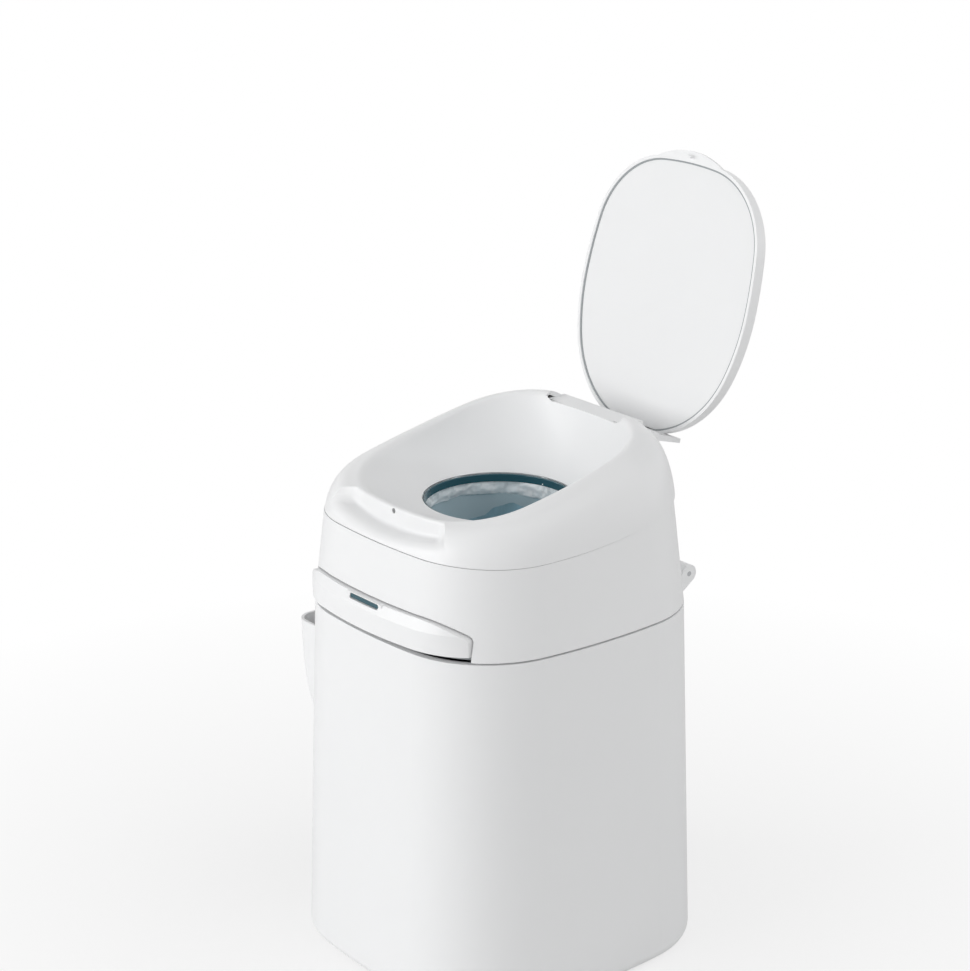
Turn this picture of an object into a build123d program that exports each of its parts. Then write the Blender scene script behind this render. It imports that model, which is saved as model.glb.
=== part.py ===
"""Litter disposal pail: a bin with a hinged head, a dished hopper cover, a lid and a sliding film gate.

Millimetres, +Z up. The origin is the middle of the flat underside. The front, with the handle, faces -Y.
Heights inside the head are counted from the seam, where the head meets the pail.
"""
from build123d import *
import os
from math import asin, cos, degrees, hypot, radians, sin, sqrt, tan

# ---------------------------------------------------------------- driving dimensions
# Body
seam_height = 270.0        # top rim of the pail above the floor
body_width = 240.0         # across the sides, at the seam
body_depth = 244.6         # front to rear, at the seam
side_bow = 475.0           # radius of the four gently bowed sides
body_corner = 75.0         # radius of the upright corners
pail_flare = 0.025 / 100   # growth of the plan per millimetre below the seam
head_taper = 0.064 / 75    # shrinkage of the plan per millimetre above the seam
wall = 2.6                 # moulded wall of pail, head and cover
pail_floor = 3.0
foot_round = 8.0
seam_gap = 1.5             # shadow gap between pail and head
lip_height = 2.2           # locating lip of the pail above its rim
lip_root = 6.0
lip_wall = 2.0
lip_clearance = 0.8

# Running clearances
part_gap = 0.3             # between pieces of two moving bodies, flat faces
slide_gap = 0.4
pin_clearance = 0.1        # on the radius of a turning pin

# Seam between head and cover: an arc seen from the side
cover_seam_mid = 69.6
cover_seam_ends = (69.3, 86.7)   # front, rear
cover_seam_reach = body_depth / 2 - 8.3
cover_seam_gap = 0.8

# Head hinge at the rear
hinge_y = body_depth / 2 + 8.2
hinge_height = 6.0
hinge_radius = 7.0
hinge_pin_radius = 2.0
hinge_outer = 66.0         # outer face of the outer ear
ear_width = 12.0
knuckle_width = 23.4
knuckle_gap = 0.6
ear_drop = 13.0            # foot of the ear below the seam
ear_foot = 0.2
ear_top = 8.0              # top of that foot below the seam

# Decks and gate
ledge_bottom = 6.6
ledge_thickness = 2.4
ledge_inset = 16.0
deck_thickness = 2.4
deck_level = 20.0          # underside of the upper deck
deck_clearance = 0.4
throat_hole = 58.0         # radius of the hole in the lower deck
sleeve_hole = 48.0         # radius of the hole in the upper deck
port_inset = 3.6           # depth of the front port behind the outer face
boss_radius = 4.5
boss_x = 84.0
boss_y = body_depth / 2 - 48.3
screw_radius = 1.5
base_screw_inset = 13.5
screw_head_radius = 3.0
screw_head_height = 1.8
gate_half_width = 72.0
gate_thickness = 3.0
gate_level = 12.0          # underside of the gate plate
gate_front = 8.8 - body_depth / 2
gate_rear = 50.0
gate_corner = 14.0
gate_travel = 104.0
rail_wall = 3.6
rail_overlap = 5.0         # how far the rail's lips cover the gate plate
rail_front = -92.0
rail_rear = 62.0
jaw_half_width = 56.0
jaw_depth = 5.5
jaw_height = 9.0
pad_depth = 2.7
spring_x = 63.0
spring_outer = 2.3
spring_inner = 1.5
spring_level = 9.3
post_radius = 2.4
spring_front = 10.0
spring_rear = 92.0

# Handle
handle_half_width = 91.6
handle_crown = body_depth / 2 + 4.5       # outermost point of the handle
handle_bow = 350.0
handle_bow_half = 55.0     # half width of the middle arc
handle_wall = 2.8
handle_bottom = 5.4
handle_top = 28.3
handle_shoulder_half = 55.0
handle_end_height = 18.5
handle_end_round = 5.0
handle_band = 7.5          # height of the grip band along the top edge
handle_band_depth = 3.6
handle_gap = 1.1
pocket_half_width = 58.0
tongue_half_width = 50.0
tongue_depth = 19.0

# Release button
button_half_width = 16.5
button_height = 3.2
button_level = 24.2
button_depth = 6.1
button_flange = 1.4
button_recess = 1.2        # the button stands this far behind the grip band
button_gap = 0.4
button_travel = 4.0
button_box_wall = 1.6

# Cassette and film
cassette_radius = 86.0
cassette_inner = 58.5
cassette_wall = 1.8
film_gap = 1.0
ring_inner = 54.4
ring_lip = 1.5
ring_top = 77.4
ring_flange_top = 75.2
ring_thickness = 1.7
sleeve_top_radius = 53.0
sleeve_bottom_radius = 46.0
film_thickness = 1.0

# Cover
ridge_level = 113.0        # height of the ridge plane over the middle
ridge_slope = 0.24         # rise of the ridge plane towards the rear
ridge_width = 179.0
ridge_depth = body_depth - 60.6
ridge_shift = -4.0
ridge_bow = 322.0
ridge_corner = 58.4
ridge_land = 4.0           # width of the crest before rounding
ridge_round = 1.7
shoulder_width = 215.0
shoulder_depth = body_depth - 24.6
shoulder_level = 95.0
shoulder_slope = 0.12
upper_width = 200.0
upper_depth = body_depth - 37.6
upper_level = 106.5
upper_slope = 0.17
throat_radius = 56.4
throat_level = 78.1
dish_width = 150.0
dish_depth = body_depth - 92.6
dish_bow = 132.0
dish_corner = 62.8
dish_level = 94.5
dish_slope = 0.148
recess_half_width = 52.0
recess_floor = 76.0
recess_back = body_depth / 2 - 25.8
recess_radius = 92.5

# Cover hinge at the rear
cover_hinge_y = body_depth / 2 - 4.9
cover_hinge_height = 87.6
cover_hinge_radius = 3.4
cover_pin_radius = 1.25
cover_lug_inner = 30.0
cover_lug_width = 7.0
cover_lug_gap = 0.4
rim_relief = 0.9           # the lugs stay this far from the cover's rim

# Lid
lid_hinge_y = body_depth / 2 - 15.3
lid_hinge_height = 113.0
lid_open_angle = 75.5      # lid direction from +Y when it stands open
lid_width = 182.4
lid_tip = 101.4            # widest point to the tip
lid_heel = 106.4           # widest point to the hinge end
lid_centre = 102.6         # hinge axis foot to the widest point
lid_tip_bow = 294.2
lid_tip_corner = 66.1
lid_heel_bow = 154.4
lid_heel_corner = 84.2
lid_stand = 26.0           # rim plane from the hinge axis
lid_side = 9.5
lid_dome = 19.0
lid_wall = 2.4
lid_draft = 1.0
lid_gasket_width = 0.9
liner_inset = 1.2
liner_thickness = 2.0
lip_grip_reach = 6.0
lip_grip_half = 50.0
lid_barrel_radius = 5.5
lid_barrel_half = 41.4
lid_pin_radius = 1.75
lid_notch_half = 42.2
ridge_cut_level = 127.0    # the ridge is cut down to this level between the lid's bosses
ridge_cut_front = 80.0
lid_boss_outer = 50.0
latch_half_width = 3.5
latch_depth = 1.6
latch_offset = 1.6         # middle of the latch tab beyond the lid's outline

# Scoop holder on the left side
holder_rim = -39.0
holder_proud = 24.0
holder_waist_level = -84.0
holder_waist_proud = 18.0
holder_bottom = -118.0
holder_half_width = 85.0
holder_wall = 2.2
holder_corner = 14.0
holder_gap = 0.5
hook_half_width = 12.0
hook_neck_half = 7.0
hook_neck_reach = 1.9
hook_flange = 1.8
hook_bottom = -82.0
hook_top = -48.0
holder_lift = 45.0

# Cutter
cutter_half_width = 22.0
cutter_depth = 9.0
cutter_height = 26.0
cutter_slot = 3.0

# Bag
bag_radius = 84.0
bag_height = 120.0

os.makedirs("parts", exist_ok=True)


# ---------------------------------------------------------------- shared forms
def bowed_quadrant(half_width, half_depth, bow, corner):
    """Joints of one quadrant: end arc to corner arc, middle of the corner arc, corner arc to side arc."""
    reach = bow - corner
    drop_x = bow - half_width
    drop_y = bow - half_depth
    span = hypot(drop_x, drop_y)
    rise = sqrt(reach**2 - span**2 / 4)
    centre_x = -drop_x / 2 + drop_y * rise / span
    centre_y = -drop_y / 2 + drop_x * rise / span
    stretch = bow / reach
    end = (centre_x * stretch, (centre_y + drop_y) * stretch - drop_y)
    side = ((centre_x + drop_x) * stretch - drop_x, centre_y * stretch)
    across = (end[0] + side[0] - 2 * centre_x, end[1] + side[1] - 2 * centre_y)
    length = hypot(*across)
    middle = (centre_x + corner * across[0] / length, centre_y + corner * across[1] / length)
    return end, middle, side


def bowed_plan(plane, width, depth, bow, corner):
    """Closed plan of four bowed sides joined by tangent corner arcs."""
    end, middle, side = bowed_quadrant(width / 2, depth / 2, bow, corner)
    with BuildSketch(plane) as plan:
        with BuildLine():
            ThreePointArc((-end[0], end[1]), (0, depth / 2), end)
            ThreePointArc(end, middle, side)
            ThreePointArc(side, (width / 2, 0), (side[0], -side[1]))
            ThreePointArc((side[0], -side[1]), (middle[0], -middle[1]), (end[0], -end[1]))
            ThreePointArc((end[0], -end[1]), (0, -depth / 2), (-end[0], -end[1]))
            ThreePointArc((-end[0], -end[1]), (-middle[0], -middle[1]), (-side[0], -side[1]))
            ThreePointArc((-side[0], -side[1]), (-width / 2, 0), (-side[0], side[1]))
            ThreePointArc((-side[0], side[1]), (-middle[0], middle[1]), (-end[0], end[1]))
        make_face()
    return plan.sketch


def body_plan(level, grow=0.0):
    """Plan of the outer body at a level counted from the seam, grown outwards by a distance."""
    scale = 1 - head_taper * level if level > 0 else 1 - pail_flare * level
    plane = Plane.XY.offset(seam_height + level)
    return bowed_plan(
        plane,
        body_width * scale + 2 * grow,
        body_depth * scale + 2 * grow,
        side_bow * scale + grow,
        body_corner * scale + grow,
    )


def body_face(level):
    """Distance of the flat middle of the front or rear face from the axis at a level from the seam."""
    scale = 1 - head_taper * level if level > 0 else 1 - pail_flare * level
    return body_depth / 2 * scale


def corner_centre(half_width, half_depth, bow, corner):
    """Centre of the corner arc of a bowed plan."""
    end, _, _ = bowed_quadrant(half_width, half_depth, bow, corner)
    share = (bow - corner) / bow
    return end[0] * share, (end[1] + bow - half_depth) * share - (bow - half_depth)


def body_rear(x):
    """Distance of the outer rear face from the axis at the seam, at a place across the body."""
    centre_x, centre_y = corner_centre(body_width / 2, body_depth / 2, side_bow, body_corner)
    end, _, _ = bowed_quadrant(body_width / 2, body_depth / 2, side_bow, body_corner)
    if abs(x) <= end[0]:
        return sqrt(side_bow**2 - x**2) - side_bow + body_depth / 2
    return sqrt(body_corner**2 - (abs(x) - centre_x) ** 2) + centre_y


def sloped_plane(level, slope, shift=0.0):
    """Plane that rises towards the rear, at a level over the seam above the origin."""
    height = seam_height + level + slope * shift
    return Plane(origin=(0, shift, height), x_dir=(1, 0, 0), z_dir=(0, -slope, 1))


def circle_plan(plane, radius):
    """Circle drawn as eight arcs, so that a loft pairs it with a bowed plan."""
    with BuildSketch(plane) as plan:
        with BuildLine():
            for step in range(8):
                start = 112.5 - 45 * step
                CenterArc((0, 0), radius, start, -45)
        make_face()
    return plan.sketch


def seam_region(gap):
    """Everything above the curved seam between head and cover, raised by a gap."""
    front, rear = cover_seam_ends
    reach = cover_seam_reach
    top = seam_height + ridge_level + 120
    low = seam_height + gap
    with BuildPart() as region:
        with BuildSketch(Plane.YZ):
            with BuildLine():
                ThreePointArc((-reach, front + low), (0, cover_seam_mid + low), (reach, rear + low))
                Polyline(
                    (reach, rear + low),
                    (reach + 20, rear + low),
                    (reach + 20, top),
                    (-reach - 20, top),
                    (-reach - 20, front + low),
                    (-reach, front + low),
                )
            make_face()
        extrude(amount=body_width, both=True)
    return region.part


def lug(x_from, x_to, centre, radius, foot_y, foot_low, foot_high):
    """Hinge lug: a barrel around the axis, carried by a web that runs to a foot on the wall."""
    with BuildPart() as body:
        with BuildSketch(Plane.YZ.offset(x_from)):
            with Locations(centre):
                Circle(radius)
            with BuildLine():
                Line((foot_y, foot_low), (foot_y, foot_high))
            make_hull()
        extrude(amount=x_to - x_from)
    return body.part


def screw(plane, length, head_up=True):
    """Pan head screw that stands on a plane with its head towards the plane's normal."""
    with BuildPart(plane) as body:
        Cylinder(screw_head_radius, screw_head_height, align=(Align.CENTER, Align.CENTER, Align.MIN))
        Cylinder(screw_radius, length, align=(Align.CENTER, Align.CENTER, Align.MAX))
    return body.part


hinge_centre = (hinge_y, seam_height + hinge_height)
cover_hinge_centre = (cover_hinge_y, seam_height + cover_hinge_height)
lid_hinge_centre = (lid_hinge_y, seam_height + lid_hinge_height)


# ---------------------------------------------------------------- pail
# Face of the side wall at the foot of the hook rail
rail_face = -body_width / 2 * (1 - pail_flare * holder_waist_level)
hook_neck_x = rail_face - hook_neck_reach
hook_flange_x = hook_neck_x - hook_flange

inner_ear = hinge_outer - ear_width - knuckle_width - 2 * knuckle_gap
with BuildPart() as pail_shell:
    loft([body_plan(-seam_height), body_plan(0)], ruled=True)
    fillet(pail_shell.edges().group_by(Axis.Z)[0], foot_round)
    loft([body_plan(pail_floor - seam_height, -wall), body_plan(0, -wall)], ruled=True, mode=Mode.SUBTRACT)
    loft([body_plan(-lip_root, -wall), body_plan(0, -wall)], ruled=True)
    lip_face = -wall - lip_clearance
    loft([body_plan(0, lip_face), body_plan(lip_height, lip_face)], ruled=True)
    lip_back = lip_face - lip_wall
    loft([body_plan(-lip_root, lip_back), body_plan(lip_height, lip_back)], ruled=True, mode=Mode.SUBTRACT)
    # The lip stops short of the finger gap under the handle
    with BuildSketch(Plane.XY.offset(seam_height)):
        Rectangle(2 * (handle_half_width + handle_gap), body_depth, align=(Align.CENTER, Align.MAX))
    extrude(amount=lip_height, mode=Mode.SUBTRACT)
    # Upright hook rail that carries the scoop holder
    with BuildSketch(Plane.XY.offset(seam_height + hook_bottom)):
        with Locations((hook_neck_x / 2 - body_width / 4 - wall / 8, 0)):
            Rectangle(abs(hook_neck_x + body_width / 2) - wall / 4, 2 * hook_neck_half)
        with Locations((hook_flange_x + hook_flange / 2, 0)):
            Rectangle(hook_flange, 2 * hook_half_width)
    extrude(amount=hook_top - hook_bottom)
pail_shell.part.label = "pail_shell"

# Ears of the head hinge, in pairs on each side, seated on the rear wall
with BuildPart() as pail_hinge_ears:
    for ear_x in (inner_ear - ear_width, hinge_outer - ear_width):
        foot = body_rear(ear_x + ear_width) - ear_foot
        ear = (hinge_centre, hinge_radius, foot, seam_height - ear_drop, seam_height - ear_top)
        add(lug(ear_x, ear_x + ear_width, *ear))
        add(lug(-ear_x - ear_width, -ear_x, *ear))
    with BuildSketch(Plane.YZ):
        with Locations(hinge_centre):
            Circle(hinge_pin_radius)
    extrude(amount=hinge_outer + 1, both=True, mode=Mode.SUBTRACT)
    loft([body_plan(-ear_drop - 5), body_plan(0)], ruled=True, mode=Mode.SUBTRACT)
pail_hinge_ears.part.label = "pail_hinge_ears"

with BuildPart() as head_hinge_pins:
    for start in (inner_ear - ear_width, -hinge_outer):
        with BuildSketch(Plane.YZ.offset(start)):
            with Locations(hinge_centre):
                Circle(hinge_pin_radius)
        extrude(amount=hinge_outer - inner_ear + ear_width)
head_hinge_pins.part.label = "head_hinge_pins"

# Film cutter: a slotted housing inside the front wall, with the blade held across the slot
cutter_face = -body_face(0) + wall + lip_clearance + lip_wall
cutter_top = seam_height - lip_root - 1
with BuildPart() as cutter_housing:
    with BuildSketch(Plane.YZ.offset(-cutter_half_width)):
        with BuildLine():
            Polyline(
                (-body_face(0) + wall + 0.5, cutter_top),
                (cutter_face + cutter_depth, cutter_top - 4),
                (cutter_face + cutter_depth, cutter_top - cutter_height + 8),
                (-body_face(0) + wall - 0.2, cutter_top - cutter_height),
                close=True,
            )
        make_face()
    extrude(amount=2 * cutter_half_width)
    add(pail_shell.part, mode=Mode.SUBTRACT)
    with BuildSketch(Plane.XZ.offset(-cutter_face - cutter_depth / 2)):
        with Locations((0, cutter_top - cutter_height / 2)):
            Rectangle(2 * cutter_half_width - 8, cutter_slot)
    extrude(amount=-cutter_depth, mode=Mode.SUBTRACT)
cutter_housing.part.label = "cutter_housing"

blade_width = 2 * cutter_half_width - 8
with BuildPart() as cutter_blade:
    with BuildSketch(Plane.XY.offset(cutter_top - cutter_height / 2 - cutter_slot / 2)):
        with BuildLine():
            Polyline(
                (-blade_width / 2, cutter_face + cutter_depth / 2),
                (blade_width / 2, cutter_face + cutter_depth / 2),
                (blade_width / 2, cutter_face + cutter_depth - 1),
                (-blade_width / 2, cutter_face + cutter_depth - 4),
                close=True,
            )
        make_face()
    extrude(amount=0.6)
cutter_blade.part.label = "cutter_blade"

# Filled film bag that stands on the pail's floor, drawn to a neck under the gate
neck_y = gate_rear + jaw_depth + pad_depth
with BuildPart() as collection_bag:
    bag_foot = pail_floor + part_gap
    levels = ((0, 0.80, 0), (0.35, 1.0, 0), (0.75, 0.86, 0), (1.0, 0.42, 12), (1.3, 0.16, 34))
    sections = []
    for share, spread, shift in levels:
        with BuildSketch(Plane.XY.offset(bag_foot + share * bag_height)) as ring:
            with Locations((0, shift)):
                Circle(bag_radius * spread)
        sections.append(ring.sketch)
    loft(sections)
collection_bag.part.label = "collection_bag"

# ---------------------------------------------------------------- head
with BuildPart() as handle_port:
    # Opening of the front wall behind the handle: flat middle, drooping ends, rounded lower corners
    half = handle_half_width + handle_gap
    top = seam_height + handle_top + handle_gap
    end_height = seam_height + handle_end_height + handle_gap
    with BuildSketch(Plane.XZ):
        with BuildLine():
            left = TangentArc((-handle_shoulder_half, top), (-half, end_height), tangent=(-1, 0))
            Line((-handle_shoulder_half, top), (handle_shoulder_half, top))
            TangentArc((handle_shoulder_half, top), (half, end_height), tangent=(1, 0))
            Polyline((half, end_height), (half, seam_height), (-half, seam_height), (-half, end_height))
        face = make_face()
        fillet(face.vertices().group_by(Axis.Y)[1], handle_end_round + handle_gap)
    extrude(amount=body_depth * 0.6)
    with BuildSketch(Plane.XY.offset(seam_height)):
        with Locations((0, 0)):
            Rectangle(body_width, body_depth * 0.5)
    extrude(amount=handle_top + 10, mode=Mode.SUBTRACT)
    loft([body_plan(0, -port_inset), body_plan(handle_top + 10, -port_inset)], ruled=True, mode=Mode.SUBTRACT)

head_blank = 100.0
knuckle_start = hinge_outer - ear_width - knuckle_gap - knuckle_width
arm_foot = body_rear(knuckle_start + knuckle_width) - wall * 0.8
with BuildPart() as head_housing:
    loft([body_plan(seam_gap), body_plan(head_blank)], ruled=True)
    loft([body_plan(0, -wall), body_plan(head_blank, -wall)], ruled=True, mode=Mode.SUBTRACT)
    ledge_top = ledge_bottom + ledge_thickness
    loft([body_plan(ledge_bottom, -wall), body_plan(ledge_top, -wall)], ruled=True)
    loft([body_plan(ledge_bottom, -ledge_inset), body_plan(ledge_top, -ledge_inset)], ruled=True,
         mode=Mode.SUBTRACT)
    add(handle_port.part, mode=Mode.SUBTRACT)
    add(seam_region(0), mode=Mode.SUBTRACT)
head_housing.part.label = "head_housing"

# Knuckles between the pail's ears
with BuildPart() as head_hinge_knuckles:
    for start in (knuckle_start, -knuckle_start - knuckle_width):
        add(lug(start, start + knuckle_width, hinge_centre, hinge_radius, arm_foot,
                seam_height + seam_gap + 2.0, seam_height + hinge_height + hinge_radius))
    with BuildSketch(Plane.YZ):
        with Locations(hinge_centre):
            Circle(hinge_pin_radius + pin_clearance)
    extrude(amount=hinge_outer, both=True, mode=Mode.SUBTRACT)
    loft([body_plan(0), body_plan(head_blank)], ruled=True, mode=Mode.SUBTRACT)
head_hinge_knuckles.part.label = "head_hinge_knuckles"

# Lugs that carry the cover's hinge, at the top of the rear wall
cover_lug_pitch = cover_lug_width + cover_lug_gap
cover_lug_end = cover_lug_inner + 2 * cover_lug_pitch + cover_lug_width
with BuildPart() as cover_hinge_lugs:
    lug_foot = body_rear(cover_lug_end) - body_face(0) + body_face(cover_hinge_height) - wall
    lug_high = seam_height + cover_seam_ends[1] - 3
    for start in (cover_lug_inner, cover_lug_inner + 2 * cover_lug_pitch):
        for side in (start, -start - cover_lug_width):
            add(lug(side, side + cover_lug_width, cover_hinge_centre, cover_hinge_radius, lug_foot,
                    lug_high - 12, lug_high))
    with BuildSketch(Plane.YZ):
        with Locations(cover_hinge_centre):
            Circle(cover_pin_radius)
    extrude(amount=cover_lug_end, both=True, mode=Mode.SUBTRACT)
    loft([body_plan(0), body_plan(ridge_level)], ruled=True, mode=Mode.SUBTRACT)
    # Relief under the rim of the closed cover
    with BuildSketch(Plane.YZ):
        with Locations((body_face(cover_hinge_height) + rim_relief, seam_height + cover_seam_ends[1] - rim_relief)):
            Rectangle(15, 15, align=(Align.MAX, Align.MIN))
    extrude(amount=cover_lug_end, both=True, mode=Mode.SUBTRACT)
cover_hinge_lugs.part.label = "cover_hinge_lugs"

# Lower deck: closes the head from below, with bosses for the upper deck and posts for the springs
base_level = ledge_bottom - deck_thickness
deck_edge = -wall - deck_clearance
with BuildPart() as gate_base:
    loft([body_plan(base_level, deck_edge), body_plan(ledge_bottom, deck_edge)], ruled=True)
    add(handle_port.part, mode=Mode.SUBTRACT)
    with BuildSketch(Plane.XY.offset(seam_height + ledge_bottom)):
        with GridLocations(2 * boss_x, 2 * boss_y, 2, 2):
            Circle(boss_radius)
    extrude(amount=deck_level - ledge_bottom)
    with BuildSketch(Plane.XY.offset(seam_height + ledge_bottom)):
        with Locations((-spring_x, spring_rear), (spring_x, spring_rear)):
            Circle(post_radius)
    extrude(amount=spring_level + spring_outer - ledge_bottom)
    with BuildSketch(Plane.XY.offset(seam_height + base_level)):
        Circle(throat_hole)
    extrude(amount=deck_thickness, mode=Mode.SUBTRACT)
    with BuildSketch(Plane.XY.offset(seam_height + deck_level)):
        with GridLocations(2 * boss_x, 2 * boss_y, 2, 2):
            Circle(screw_radius)
    extrude(amount=-10, mode=Mode.SUBTRACT)
    # Clearance holes of the screws that hold the deck to the ledge
    base_screw_spots = [(x, y) for x in (-1, 1) for y in (-1, 1)]
    base_screw_places = [
        (x * (body_width / 2 - base_screw_inset), y * 40) for x, y in base_screw_spots
    ] + [(x * 30, body_depth / 2 - base_screw_inset + 1.5) for x in (-1, 1)]
    with BuildSketch(Plane.XY.offset(seam_height + base_level)):
        with Locations(*base_screw_places):
            Circle(screw_radius)
    extrude(amount=deck_thickness, mode=Mode.SUBTRACT)
gate_base.part.label = "gate_base"

with BuildPart() as base_screws:
    for place in base_screw_places:
        add(screw(Plane((place[0], place[1], seam_height + base_level), z_dir=(0, 0, -1)), 4.4))
base_screws.part.label = "base_screws"

# Bores of those screws in the ledge
with BuildPart() as finished_housing:
    add(head_housing.part)
    with BuildSketch(Plane.XY.offset(seam_height + ledge_bottom)):
        with Locations(*base_screw_places):
            Circle(screw_radius)
    extrude(amount=ledge_thickness, mode=Mode.SUBTRACT)

with BuildPart() as head_gasket:
    gasket_low = lip_height + part_gap
    loft([body_plan(gasket_low, -wall - 0.8), body_plan(base_level, -wall - 0.8)], ruled=True)
    loft([body_plan(gasket_low, lip_back - 1.4), body_plan(base_level, lip_back - 1.4)], ruled=True,
         mode=Mode.SUBTRACT)
    add(handle_port.part, mode=Mode.SUBTRACT)
head_gasket.part.label = "head_gasket"

# Channels that guide the gate plate, one on each side
rail_inner = gate_half_width - rail_overlap
slot_low = gate_level - slide_gap
slot_high = gate_level + gate_thickness + slide_gap
with BuildPart() as guide_rail_right:
    with BuildSketch(Plane.XZ.offset(-rail_rear)) as channel:
        with BuildLine():
            Polyline(
                (rail_inner, seam_height + ledge_bottom),
                (gate_half_width + slide_gap + rail_wall, seam_height + ledge_bottom),
                (gate_half_width + slide_gap + rail_wall, seam_height + deck_level),
                (rail_inner, seam_height + deck_level),
                (rail_inner, seam_height + slot_high),
                (gate_half_width + slide_gap, seam_height + slot_high),
                (gate_half_width + slide_gap, seam_height + slot_low),
                (rail_inner, seam_height + slot_low),
                close=True,
            )
        make_face()
    extrude(amount=rail_rear - rail_front)
guide_rail_right.part.label = "guide_rail_right"

with BuildPart() as guide_rail_left:
    add(mirror(guide_rail_right.part, about=Plane.YZ, mode=Mode.PRIVATE))
guide_rail_left.part.label = "guide_rail_left"

# Upper deck: closes the gate's space and carries the cassette
deck_top = deck_level + deck_thickness
with BuildPart() as cassette_deck:
    loft([body_plan(deck_level, deck_edge), body_plan(deck_top, deck_edge)], ruled=True)
    add(handle_port.part, mode=Mode.SUBTRACT)
    with BuildSketch(Plane.XY.offset(seam_height + deck_level)):
        Circle(sleeve_hole)
        with GridLocations(2 * boss_x, 2 * boss_y, 2, 2):
            Circle(screw_radius)
    extrude(amount=deck_thickness, mode=Mode.SUBTRACT)
cassette_deck.part.label = "cassette_deck"

with BuildPart() as deck_screws:
    for x in (-boss_x, boss_x):
        for y in (-boss_y, boss_y):
            add(screw(Plane((x, y, seam_height + deck_top)), 10.4))
deck_screws.part.label = "deck_screws"

# Fixed jaw behind the throat, with its rubber pad
jaw_face = gate_rear + jaw_depth + pad_depth
pad_level = gate_level - (jaw_height - gate_thickness) / 2
with BuildPart() as fixed_jaw:
    with BuildSketch(Plane.YZ.offset(-jaw_half_width)):
        with BuildLine():
            Polyline(
                (jaw_face + part_gap + pad_depth, seam_height + ledge_bottom),
                (jaw_face + part_gap + pad_depth + 14, seam_height + ledge_bottom),
                (jaw_face + part_gap + pad_depth + 14, seam_height + ledge_bottom + 2.5),
                (jaw_face + part_gap + pad_depth + 4, seam_height + deck_level),
                (jaw_face + part_gap + pad_depth, seam_height + deck_level),
                close=True,
            )
        make_face()
    extrude(amount=2 * jaw_half_width)
fixed_jaw.part.label = "fixed_jaw"

with BuildPart() as fixed_jaw_pad:
    with BuildSketch(Plane.XZ.offset(-jaw_face - part_gap)):
        with Locations((0, seam_height + pad_level + jaw_height / 2)):
            Rectangle(2 * jaw_half_width, jaw_height)
    extrude(amount=-pad_depth)
    fillet(fixed_jaw_pad.faces().sort_by(Axis.Y)[0].edges().filter_by(Axis.X), pad_depth * 0.45)
fixed_jaw_pad.part.label = "fixed_jaw_pad"

# Gate plate with its upturned jaw and the two posts that the springs pull on
with BuildPart() as drawer_plate:
    with BuildSketch(Plane.XY.offset(seam_height + gate_level)) as plate_plan:
        with Locations((0, (gate_front + gate_rear) / 2)):
            Rectangle(2 * gate_half_width, gate_rear - gate_front)
        chamfer(plate_plan.vertices().group_by(Axis.Y)[0], gate_corner)
    extrude(amount=gate_thickness)
    with BuildSketch(Plane.XY.offset(seam_height + pad_level)):
        with Locations((0, gate_rear + jaw_depth / 2)):
            Rectangle(2 * jaw_half_width, jaw_depth)
    extrude(amount=jaw_height)
    with BuildSketch(Plane.XY.offset(seam_height + gate_level)):
        with Locations((-spring_x, spring_front), (spring_x, spring_front)):
            Circle(post_radius)
    extrude(amount=-(gate_level - spring_level + spring_outer))
    tongue_screw_x = tongue_half_width * 0.7
    tongue_screw_y = gate_front + 7
    with BuildSketch(Plane.XY.offset(seam_height + gate_level)):
        with Locations((-tongue_screw_x, tongue_screw_y), (tongue_screw_x, tongue_screw_y)):
            Circle(screw_radius)
    extrude(amount=gate_thickness, mode=Mode.SUBTRACT)
drawer_plate.part.label = "drawer_plate"

with BuildPart() as drawer_jaw_pad:
    with BuildSketch(Plane.XZ.offset(-gate_rear - jaw_depth)):
        with Locations((0, seam_height + pad_level + jaw_height / 2)):
            Rectangle(2 * jaw_half_width, jaw_height)
    extrude(amount=-pad_depth)
    fillet(drawer_jaw_pad.faces().sort_by(Axis.Y)[-1].edges().filter_by(Axis.X), pad_depth * 0.45)
drawer_jaw_pad.part.label = "drawer_jaw_pad"

with BuildPart() as drawer_screws:
    for x in (-tongue_screw_x, tongue_screw_x):
        plane = Plane((x, tongue_screw_y, seam_height + gate_level), z_dir=(0, 0, -1))
        add(screw(plane, gate_thickness + 2.4))
drawer_screws.part.label = "drawer_screws"

# Extension springs between the gate's posts and the base's posts
spring_run = spring_rear - spring_front - 2 * post_radius
with BuildPart() as return_spring_right:
    with BuildSketch(Plane.XZ.offset(-spring_rear + post_radius)):
        with Locations((spring_x, seam_height + spring_level)):
            Circle(spring_outer)
            Circle(spring_inner, mode=Mode.SUBTRACT)
    extrude(amount=spring_run)
return_spring_right.part.label = "return_spring_right"

with BuildPart() as return_spring_left:
    add(mirror(return_spring_right.part, about=Plane.YZ, mode=Mode.PRIVATE))
return_spring_left.part.label = "return_spring_left"


# ---------------------------------------------------------------- handle and button
def handle_plan(plane, inset, half):
    """Region behind the handle's outer face, set in by a distance and cut off at a half width."""
    crown = handle_crown - inset
    join = handle_bow_half
    drop = handle_bow - inset - sqrt((handle_bow - inset) ** 2 - join**2)
    end_y = body_rear(half) - inset
    with BuildSketch(plane) as plan:
        with BuildLine():
            front = ThreePointArc((-join, drop - crown), (0, -crown), (join, drop - crown))
            if half > join + 10:
                TangentArc((join, drop - crown), (half, -end_y), tangent=front % 1)
                TangentArc((-join, drop - crown), (-half, -end_y), tangent=-(front % 0))
                Polyline((half, -end_y), (half, 0), (-half, 0), (-half, -end_y))
            else:
                Polyline((join, drop - crown), (join, 0), (-join, 0), (-join, drop - crown))
        make_face()
    return plan.sketch


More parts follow.
